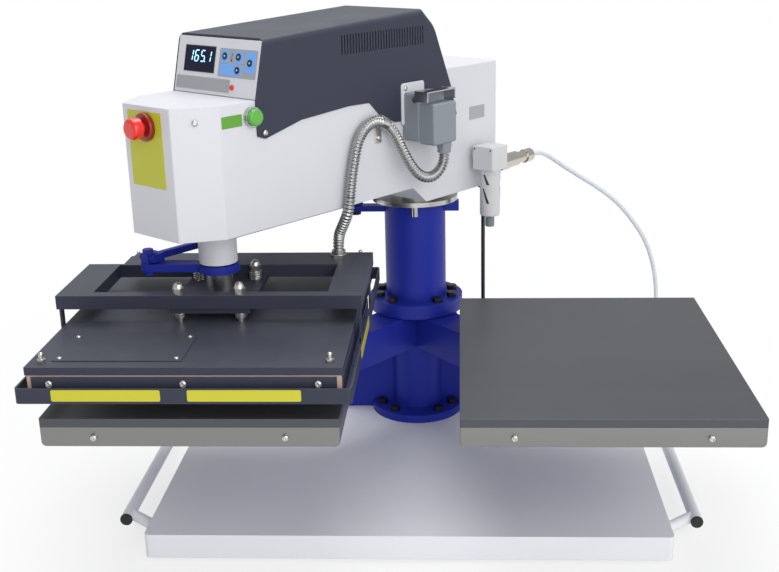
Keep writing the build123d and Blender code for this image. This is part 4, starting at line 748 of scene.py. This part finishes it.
def dome_nut(radius, height):
    """The round cap of a dome nut."""
    def shape(bm):
        steps = 7
        cap = [
            (radius * math.cos(math.pi / 2 * k / steps), height * math.sin(math.pi / 2 * k / steps))
            for k in range(steps)
        ]
        turned(bm, Matrix.Identity(4), [(0, -0.0006), (radius, -0.0006), *cap, (0, height)])
    return shape


def coil_spring(radius, wire, height, turns):
    """A short compression spring that stands on its point."""
    def shape(bm):
        steps = turns * 14
        line = []
        for k in range(steps + 1):
            rise = wire + (height - 2 * wire) * k / steps
            line.append(polar(radius, 2 * math.pi * turns * k / steps, rise))
        add_tube(bm, line, wire, sides=8)
    return shape


# Pieces
class PRESS_OT_finishes(bpy.types.Operator):
    """Gives every part of the machine its finish"""
    bl_idname = "press.finishes"
    bl_label = "Finishes"

    def execute(self, context):
        make_finishes()
        for material, nodes in FINISH_OF.items():
            for node in nodes:
                mesh = frame["nodes"][node].data
                mesh.materials.clear()
                mesh.materials.append(finish(material))
        left = set(frame["nodes"]) - {node for nodes in FINISH_OF.values() for node in nodes}
        if left:
            raise RuntimeError(f"no finish for {sorted(left)}")
        # The screws on the platens' fronts are plated, and the column's bolts are black
        mesh = frame["nodes"]["base_fixings"].data
        mesh.materials.append(finish("zinc"))
        for polygon in mesh.polygons:
            polygon.material_index = 1 if polygon.center.y < PLATEN_LOW.y + 0.001 else 0
        return {"FINISHED"}


class PRESS_OT_conduit(bpy.types.Operator):
    """Makes the ribbed steel conduit from the connector to the heater"""
    bl_idname = "press.conduit"
    bl_label = "Conduit"

    def execute(self, context):
        self.length("ribbed_conduit_upper", CONDUIT_UPPER, "conduit_upper", "head", "turn")
        self.length("ribbed_conduit_lower", CONDUIT_LOWER, "conduit_lower", "turn", "press")
        return {"FINISHED"}

    def length(self, name, points, node, first, second):
        """One length of the conduit, as a ribbed tube along its route."""
        world = [HEAD @ Vector(point) for point in points]
        route = nurbs_route(world, resolution=12)
        bpy.context.scene.collection.objects.link(route)
        values = {
            "Route": route, "Radius": CONDUIT_RADIUS, "Depth": sizes().rib_depth, "Pitch": sizes().rib_pitch,
            "Material": finish("conduit_steel"),
        }
        obj = grown(name, bpy.data.meshes.new("nothing"), "Ribbed tube", values)
        bpy.data.objects.remove(route)
        obj.data.shade_smooth()
        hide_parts(node)
        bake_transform(obj)


def winding(centre, outer, cord, steps, ground, start_angle, sense):
    """Points of a neat coil, from its table of turns, cords in and layers up."""
    points = []
    count = int(steps[-1][0] * POINTS_PER_TURN)
    for k in range(count + 1):
        turn = steps[-1][0] * k / count
        before, after = next(pair for pair in zip(steps, steps[1:]) if turn <= pair[1][0] + 1e-9)
        share = (turn - before[0]) / (after[0] - before[0])
        inward = before[1] + (after[1] - before[1]) * share
        layer = before[2] + (after[2] - before[2]) * share
        angle = start_angle + sense * 2 * math.pi * turn
        radius = outer - inward * cord
        x, y = centre[0] + radius * math.cos(angle), centre[1] + radius * math.sin(angle)
        points.append((x, y, ground + cord / 2 + layer * cord))
    return points


class PRESS_OT_cords(bpy.types.Operator):
    """Makes the air hose and the mains cable, with their coils"""
    bl_idname = "press.cords"
    bl_label = "Hose and cable"

    def execute(self, context):
        turns = winding(
            HOSE_COIL, HOSE_COIL_RADIUS, 2 * HOSE_RADIUS, HOSE_WINDING,
            ground=0.0, start_angle=math.pi, sense=-1,
        )
        self.cord(
            "air_hose", [*HOSE_POINTS, *turns, HOSE_LEAVES], HOSE_RADIUS, "hose", "hose_plastic",
            ("hose", "hose_coil"), HOSE_EXIT, HOSE_LIES,
            length=2.0, diameter=0.008, far_end="fitting", with_pieces=["hose_nipple"],
        )
        turns = winding(
            MAINS_COIL, MAINS_COIL_RADIUS, 2 * MAINS_RADIUS, MAINS_WINDING,
            ground=BASE_TOP, start_angle=-math.pi / 2, sense=1,
        )
        self.cord(
            "mains_lead", [*MAINS_POINTS, *turns, MAINS_LEAVES], MAINS_RADIUS, "cable", "black_rubber",
            ("mains_cable", "mains_coil"), MAINS_EXIT, MAINS_LIES,
            length=2.0, diameter=0.007, far_end="plug", with_pieces=["mains_plug"],
        )
        return {"FINISHED"}

    def cord(self, name, points, radius, material, slot, nodes, leaves, lies, **facts):
        """One cord from the head down to the base, as a smooth tube along its route."""
        line = spline_points(points, resolution=6)
        bm = bmesh.new()
        add_tube(bm, line, radius)
        obj = new_object(name, bm)
        obj.data.materials.append(finish(material))
        obj.data.shade_smooth()
        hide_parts(*nodes)
        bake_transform(obj)


class PRESS_OT_display(bpy.types.Operator):
    """Makes the display's digits, the keypad and the plain strip under the window"""
    bl_idname = "press.display"
    bl_label = "Display and keypad"

    def execute(self, context):
        self.digits()
        foil = sizes().foil
        print_height = 1.5 * foil
        sheet = (0.0045, 0.084, 0.028, 0.068)
        plate_piece("keypad", PANEL, sheet, foil, "head", "label_grey", corner=0.002)
        bm = bmesh.new()
        for bounds in (
            (0.0085, 0.0245, 0.0475, 0.0655), (0.0375, 0.0535, 0.0475, 0.0655),
            (0.0085, 0.0535, 0.0305, 0.0455), (0.060, 0.0805, 0.036, 0.0655),
        ):
            add_plate(bm, PANEL, *bounds, print_height, corner=0.0015)
        settle(new_object("keypad_fields", bm), "head", "keypad_blue")
        bm = bmesh.new()
        add_plate(bm, PANEL, 0.0305, 0.0315, 0.051, 0.062, print_height, corner=0.0004)
        spot, spot_radius = (0.031, 0, 0.0515), 0.0014
        turned(
            bm, PANEL @ Matrix.Translation(spot) @ Matrix.Rotation(math.pi / 2, 4, "X"),
            [(0, 0), (spot_radius, 0), (spot_radius, print_height), (0, print_height)], steps=16,
        )
        settle(new_object("keypad_mark", bm), "head", "black_plastic")
        self.key_marks()
        strip = (-0.085, 0.0325, 0.006, 0.0245)
        plate_piece("panel_strip", PANEL, strip, foil, "head", "label_grey")
        self.window_frame()
        return {"FINISHED"}

    def key_marks(self):
        """Plain triangles on the keys: down, up, right and left."""
        reach, sunk, proud = 0.0022, -0.0014, -0.0018
        keys = ((16, 57, 270), (45, 57, 90), (45, 38.5, 0), (69.5, 50, 180))
        for number, (x, z, turn) in enumerate(keys, 1):
            angles = [math.radians(turn + 120 * k) for k in range(3)]
            corners = [(x / 1000 + reach * math.cos(a), z / 1000 + reach * math.sin(a)) for a in angles]
            bm = bmesh.new()
            loft(bm, [on_face(PANEL, corners, y) for y in (sunk, proud)])
            settle(new_object(f"key_mark_{number}", bm), f"key_cap_{number}", "label_grey", "filter_grey")

    def window_frame(self):
        """The thin black border of the display's window."""
        left, right, foot, top = -0.070, -0.006, 0.0325, 0.0675
        border, proud = 0.0014, 0.0006
        rings = []
        for out, y in ((border, 0.0), (border, -proud), (0.0, -proud), (0.0, 0.0)):
            x0, x1, z0, z1 = left - out, right + out, foot - out, top + out
            rings.append(on_face(PANEL, ((x0, z0), (x1, z0), (x1, z1), (x0, z1)), y))
        bm = bmesh.new()
        loft(bm, [*rings, rings[0]], caps=False)
        settle(new_object("window_frame", bm), "head", "black_plastic")

    def digits(self):
        """The lit segments of the reading, slanted as on such displays."""
        cell = sizes().digit_height / 2
        bar, gap, slant, pitch = 0.00085, 0.0005, 0.14, 0.0133
        left, foot, point_back, proud = -0.0635, 0.0465, 0.0036, 0.0003
        bm = bmesh.new()
        for character in sizes().reading:
            if character == ".":
                x = left - point_back
                add_plate(bm, PANEL, x - bar, x + bar, foot - bar, foot + bar, proud, corner=0.0004)
                continue
            for segment in DIGITS[character]:
                ends = [Vector((x * cell, z * cell)) for x, z in SEGMENTS[segment]]
                run = (ends[1] - ends[0]).normalized()
                side = Vector((-run.y, run.x)) * bar
                p, q = ends[0] + run * gap, ends[1] - run * gap
                corners = [
                    p, p + run * bar + side, q - run * bar + side, q, q - run * bar - side,
                    p + run * bar - side,
                ]
                outline = [(left + c.x + c.y * slant, foot + c.y) for c in corners]
                loft(bm, [on_face(PANEL, outline, y) for y in (0.0001, -proud)])
            left += pitch
        settle(new_object("display_digits", bm), "head", "display_light")


class PRESS_OT_labels(bpy.types.Operator):
    """Makes the bare labels on the head and on the heater's guard"""
    bl_idname = "press.labels"
    bl_label = "Labels"

    def execute(self, context):
        foil = sizes().foil
        for name, face, bounds, slot, material in (
            ("front_label", FRONT_FACE, (-0.040, 0.033, 0.563, 0.668), "label_yellow", "label_olive"),
            ("start_label", SIDE_FACE, (-0.502, -0.4655, 0.6435, 0.660), "label_green", "label_green"),
            ("side_label", SIDE_FACE, (0.044, 0.087, 0.5815, 0.604), "label_grey", "label_grey"),
        ):
            plate_piece(name, face, bounds, foil, "head", slot, material)
        front = Matrix.Translation((0, GUARD_LOW.y, 0))
        side = Matrix.Translation((GUARD_HIGH.x, 0, 0)) @ Matrix.Rotation(math.pi / 2, 4, "Z")
        middle, half = 0.3295, 0.008
        for number, (face, x0, x1) in enumerate(
            ((front, -0.4505, -0.3075), (front, -0.2725, -0.1245), (side, -0.475, -0.335)), 1
        ):
            bounds = (x0, x1, middle - half, middle + half)
            name = f"guard_label_{number}"
            plate_piece(name, face, bounds, foil, "press", "label_yellow", corner=0.0025)
        return {"FINISHED"}


class PRESS_OT_connector_plate(bpy.types.Operator):
    """Makes the white plate that the connector is screwed to, and the clip round the conduit"""
    bl_idname = "press.connector_plate"
    bl_label = "Connector plate and clip"

    def execute(self, context):
        bounds = (-0.136, -0.080, 0.598, 0.664)
        plate_piece(
            "connector_plate", HOOD_FACE, bounds, CONNECTOR_PLATE, "head", "white_paint", "head_paint",
            corner=0.005,
        )
        # A strap round the conduit, on the foot that is screwed to the head
        before, after = [Vector(point) for point in CONDUIT_UPPER[CLIP_AFTER:CLIP_AFTER + 2]]
        share = 0.45
        place = along(HEAD.to_3x3() @ (after - before), HEAD @ before.lerp(after, share))
        inner, outer, half = 0.0092, 0.0104, 0.007
        bm = bmesh.new()
        profile = [(inner, -half), (outer, -half), (outer, half), (inner, half)]
        turned(bm, place, profile, steps=32, closed=True)
        settle(new_object("conduit_clip", bm), "head", "bright_steel", "zinc")
        return {"FINISHED"}


class PRESS_OT_heater_cover(bpy.types.Operator):
    """Makes the screwed access panel on the heater's cover"""
    bl_idname = "press.heater_cover"
    bl_label = "Access panel"

    def execute(self, context):
        top = Matrix.Translation((0, 0, COVER_HIGH.z)) @ Matrix.Rotation(-math.pi / 2, 4, "X")
        bounds = (-0.457, -0.285, -0.592, -0.495)
        plate_piece("access_panel", top, bounds, SEAT, "press", "slate_paint")
        return {"FINISHED"}


class PRESS_OT_screws(bpy.types.Operator):
    """Sets screw heads, dome nuts and springs where the machine has them"""
    bl_idname = "press.screws"
    bl_label = "Screws and nuts"

    def execute(self, context):
        down, up = Vector((0, -1, 0)), Vector((0, 0, 1))
        x, y = PRESS_AXIS.x, PRESS_AXIS.y
        apron_side, apron_z = 0.128, 0.2615
        apron = [
            (Vector((middle + side, PLATEN_LOW.y - SEAT, apron_z)), down)
            for middle in (x, -x) for side in (-apron_side, apron_side)
        ]
        scatter("platen_screws", pan_head(*PLATEN_SCREW), apron, "base", seed=1)
        front_side, front_z = 0.176, 0.342
        front = [
            (Vector((x + side, COVER_LOW.y - SEAT, front_z)), down) for side in (-front_side, 0, front_side)
        ]
        scatter("heater_screws", pan_head(*HEATER_SCREW), front, "press", seed=2)
        panel = [
            (Vector((px, py, COVER_HIGH.z + SEAT)), up)
            for px, py in ((-0.449, -0.503), (-0.293, -0.503), (-0.449, -0.584), (-0.293, -0.584))
        ]
        scatter("panel_screws", pan_head(*PANEL_SCREW), panel, "press", seed=3)
        scatter("head_screws", pan_head(*HEAD_SCREW), self.on_head(), "head", seed=4)
        near_y, far_y, spring_z = -0.432, -0.300, 0.385
        studs = [
            (Vector((x + side, stud_y, stud_z)), up)
            for stud_y, stud_z in ((near_y, 0.4135), (far_y, 0.4075)) for side in (-STUD_SIDE, STUD_SIDE)
        ]
        scatter("stud_nuts", dome_nut(*STUD_NUT), studs, "press", seed=5)
        cover_x, cover_y, cover_z = 0.190, 0.240, COVER_HIGH.z + 0.0115
        covers = [
            (Vector((x + side_x * cover_x, y + side_y * cover_y, cover_z)), up)
            for side_x in (-1, 1) for side_y in (-1, 1)
        ]
        scatter("cover_nuts", dome_nut(*COVER_NUT), covers, "press", seed=6)
        springs = [(Vector((x + side, far_y, spring_z)), up) for side in (-STUD_SIDE, STUD_SIDE)]
        spring = coil_spring(radius=0.0088, wire=0.0012, height=0.016, turns=4)
        scatter("stud_springs", spring, springs, "press", seed=7)
        return {"FINISHED"}

    def on_head(self):
        """Screws of the hood, the connector's plate, the conduit's clip and the head's front corner."""
        places = []
        for side in (-1, 1):
            for y, z in ((-0.428, 0.629), (-0.006, 0.609)):
                places.append((Vector((side * (HOOD_SIDE + SEAT), y, z)), Vector((side, 0, 0))))
        places.append((Vector((HOOD_SIDE + CONNECTOR_PLATE, -0.127, 0.656)), Vector((1, 0, 0))))
        places.append((Vector((HEAD_SIDE + CLIP_FOOT, -0.190, 0.586)), Vector((1, 0, 0))))
        corner = Vector((0.055, -0.037, 0)).normalized()
        places.append((Vector((0.0695, -0.5325, 0.655)) + corner * SEAT, corner))
        turn = HEAD.to_3x3()
        return [(HEAD @ point, turn @ direction) for point, direction in places]


class PRESS_OT_filter(bpy.types.Operator):
    """Makes the sight slots in the filter's bowl and two round spots above them"""
    bl_idname = "press.filter"
    bl_label = "Filter slots"

    def execute(self, context):
        centre = Vector((0.121, 0.060, 0))
        inner, outer, sections = 0.0170, 0.0178, 8
        # In degrees: each slot starts ahead of its turn, leans with its height, and is wider at its foot
        lead, lean, width, gain = 8, 26, 8, 8
        # The slots are dark pieces laid on the bowl: painted shade where the bowl guard has openings.
        bm = bmesh.new()
        for turn in (-90.0, 30.0, 150.0):
            for top, foot in ((0.495, 0.473), (0.466, 0.440)):
                rings = []
                for k in range(sections + 1):
                    share = k / sections
                    first = turn - lead + lean * share
                    last = first + (width + gain * share)
                    height = top + (foot - top) * share
                    rings.append([
                        HEAD @ (centre + polar(radius, math.radians(angle), height))
                        for angle, radius in ((first, inner), (first, outer), (last, outer), (last, inner))
                    ])
                loft(bm, rings)
        spot_y, spot_z, spot_radius, sunk, proud = 0.038, 0.5345, 0.0017, -0.0004, 0.0003
        for x in (0.104, 0.138):
            place = HEAD @ Matrix.Translation((x, spot_y, spot_z)) @ Matrix.Rotation(math.pi / 2, 4, "X")
            turned(bm, place, [(0, sunk), (spot_radius, sunk), (spot_radius, proud), (0, proud)], steps=16)
        settle(new_object("filter_slots", bm), "head", "grey_plastic", "dark_slot", sharp=30)
        return {"FINISHED"}


class PRESS_OT_stage(bpy.types.Operator):
    """Makes the pale floor, the soft light and the camera"""
    bl_idname = "press.stage"
    bl_label = "Stage"

    def execute(self, context):
        scene = context.scene
        scene.view_settings.view_transform = "Standard"
        self.floor()
        self.world(scene)
        for name, place, size, power in (
            ("key_light", (1.1, -2.9, 1.4), 2.4, 46.0),
            ("fill_light", (2.4, -1.4, 1.9), 1.6, 12.0),
            ("top_light", (-0.2, 0.3, 2.7), 2.0, 50.0),
        ):
            data = bpy.data.lights.new(name, "AREA")
            data.size = size
            data.energy = power
            lamp = bpy.data.objects.new(name, data)
            lamp.location = place
            lamp.rotation_euler = (LAMP_AIM - Vector(place)).to_track_quat("-Z", "Y").to_euler()
            scene.collection.objects.link(lamp)
        self.camera(scene)
        return {"FINISHED"}

    def floor(self):
        half = 30.0
        bm = bmesh.new()
        corners = [bm.verts.new((x * half, y * half, 0)) for x, y in ((-1, -1), (1, -1), (1, 1), (-1, 1))]
        bm.faces.new(corners)
        floor = new_object("floor", bm)
        material = bpy.data.materials.new("floor")
        material.use_nodes = True
        tree = material.node_tree
        shader = tree.nodes["Principled BSDF"]
        shader.inputs["Base Color"].default_value = (0.86, 0.86, 0.86, 1.0)
        shader.inputs["Roughness"].default_value = 0.9
        shader.inputs["Specular IOR Level"].default_value = 0.1
        white = add_node(tree, "ShaderNodeEmission", {"Strength": 1.0})
        place = add_node(tree, "ShaderNodeTexCoord")
        length = add_node(tree, "ShaderNodeVectorMath", operation="LENGTH")
        # The ground goes from shaded to plain white with its distance from the machine
        shares = {"From Min": 0.5, "From Max": 1.4, "To Min": 0.7, "To Max": 1.0}
        far = add_node(tree, "ShaderNodeMapRange", shares, interpolation_type="SMOOTHSTEP")
        mix = add_node(tree, "ShaderNodeMixShader")
        tree.links.new(length.outputs["Value"], far.inputs["Value"])
        seen = seen_by(tree, "Is Camera Ray", "Is Glossy Ray", "Is Transmission Ray")
        tree.links.new(math_node(tree, "MULTIPLY", seen, far.outputs["Result"]), mix.inputs["Fac"])
        join(
            tree, (place, "Object", length, 0), (shader, "BSDF", mix, 1), (white, "Emission", mix, 2),
            (mix, "Shader", tree.nodes["Material Output"], "Surface"),
        )
        floor.data.materials.append(material)

    def world(self, scene):
        scene.world = bpy.data.worlds.new("studio")
        scene.world.use_nodes = True
        tree = scene.world.node_tree
        back = tree.nodes["Background"]
        back.inputs["Color"].default_value = (0.97, 0.98, 1.0, 1.0)
        back.inputs["Strength"].default_value = 0.55
        shown = add_node(tree, "ShaderNodeBackground", {"Color": (1.0, 1.0, 1.0, 1.0), "Strength": 1.0})
        mix = add_node(tree, "ShaderNodeMixShader")
        tree.links.new(seen_by(tree, "Is Camera Ray", "Is Transmission Ray"), mix.inputs["Fac"])
        join(
            tree, (back, "Background", mix, 1), (shown, "Background", mix, 2),
            (mix, "Shader", tree.nodes["World Output"], "Surface"),
        )

    def camera(self, scene):
        """The photograph's camera, from its fitted angles and its principal point."""
        forward = Vector((
            math.sin(CAMERA_YAW) * math.cos(CAMERA_DOWN), math.cos(CAMERA_YAW) * math.cos(CAMERA_DOWN),
            -math.sin(CAMERA_DOWN),
        ))
        level = Vector((math.cos(CAMERA_YAW), -math.sin(CAMERA_YAW), 0))
        down = forward.cross(level)
        right = level * math.cos(CAMERA_ROLL) + down * math.sin(CAMERA_ROLL)
        below = -level * math.sin(CAMERA_ROLL) + down * math.cos(CAMERA_ROLL)
        data = bpy.data.cameras.new("photo_camera")
        data.sensor_width = SENSOR
        data.lens = FOCAL_PIXELS * SENSOR / PHOTO_WIDTH
        data.shift_x = (PHOTO_WIDTH / 2 - CENTRE_PIXELS[0]) / PHOTO_WIDTH
        data.shift_y = (CENTRE_PIXELS[1] - PHOTO_HEIGHT / 2) / PHOTO_WIDTH
        data.clip_start, data.clip_end = 0.1, 100.0
        camera = bpy.data.objects.new("photo_camera", data)
        turn = Matrix((right, -below, -forward)).transposed().to_4x4()
        camera.matrix_world = Matrix.Translation(CAMERA_AT) @ turn
        scene.collection.objects.link(camera)
        scene.camera = camera


class PRESS_PT_panel(bpy.types.Panel):
    """Lists the press's colours, sizes and pieces"""
    bl_idname = "PRESS_PT_panel"
    bl_label = "Heat press"
    bl_space_type = "VIEW_3D"
    bl_region_type = "UI"
    bl_category = "Heat press"

    def draw(self, context):
        for settings in (context.scene.press_colours, context.scene.press_sizes):
            for name in settings.bl_rna.properties.keys():
                if name not in ("rna_type", "name"):
                    self.layout.prop(settings, name)
        for operator in OPERATORS:
            self.layout.operator(operator.bl_idname)


OPERATORS = (
    PRESS_OT_finishes, PRESS_OT_conduit, PRESS_OT_cords, PRESS_OT_display, PRESS_OT_labels,
    PRESS_OT_connector_plate, PRESS_OT_heater_cover, PRESS_OT_screws, PRESS_OT_filter, PRESS_OT_stage,
)
CLASSES = (PressColours, PressSizes, *OPERATORS, PRESS_PT_panel)


def register():
    for item in CLASSES:
        bpy.utils.register_class(item)
    bpy.types.Scene.press_colours = bpy.props.PointerProperty(type=PressColours)
    bpy.types.Scene.press_sizes = bpy.props.PointerProperty(type=PressSizes)


def unregister():
    del bpy.types.Scene.press_colours
    del bpy.types.Scene.press_sizes
    for item in reversed(CLASSES):
        bpy.utils.unregister_class(item)


def main():
    register()
    bpy.ops.press.finishes()
    bpy.ops.press.conduit()
    bpy.ops.press.cords()
    bpy.ops.press.display()
    bpy.ops.press.labels()
    bpy.ops.press.connector_plate()
    bpy.ops.press.heater_cover()
    bpy.ops.press.screws()
    bpy.ops.press.filter()
    bpy.ops.press.stage()


if __name__ == "__main__":
    main()
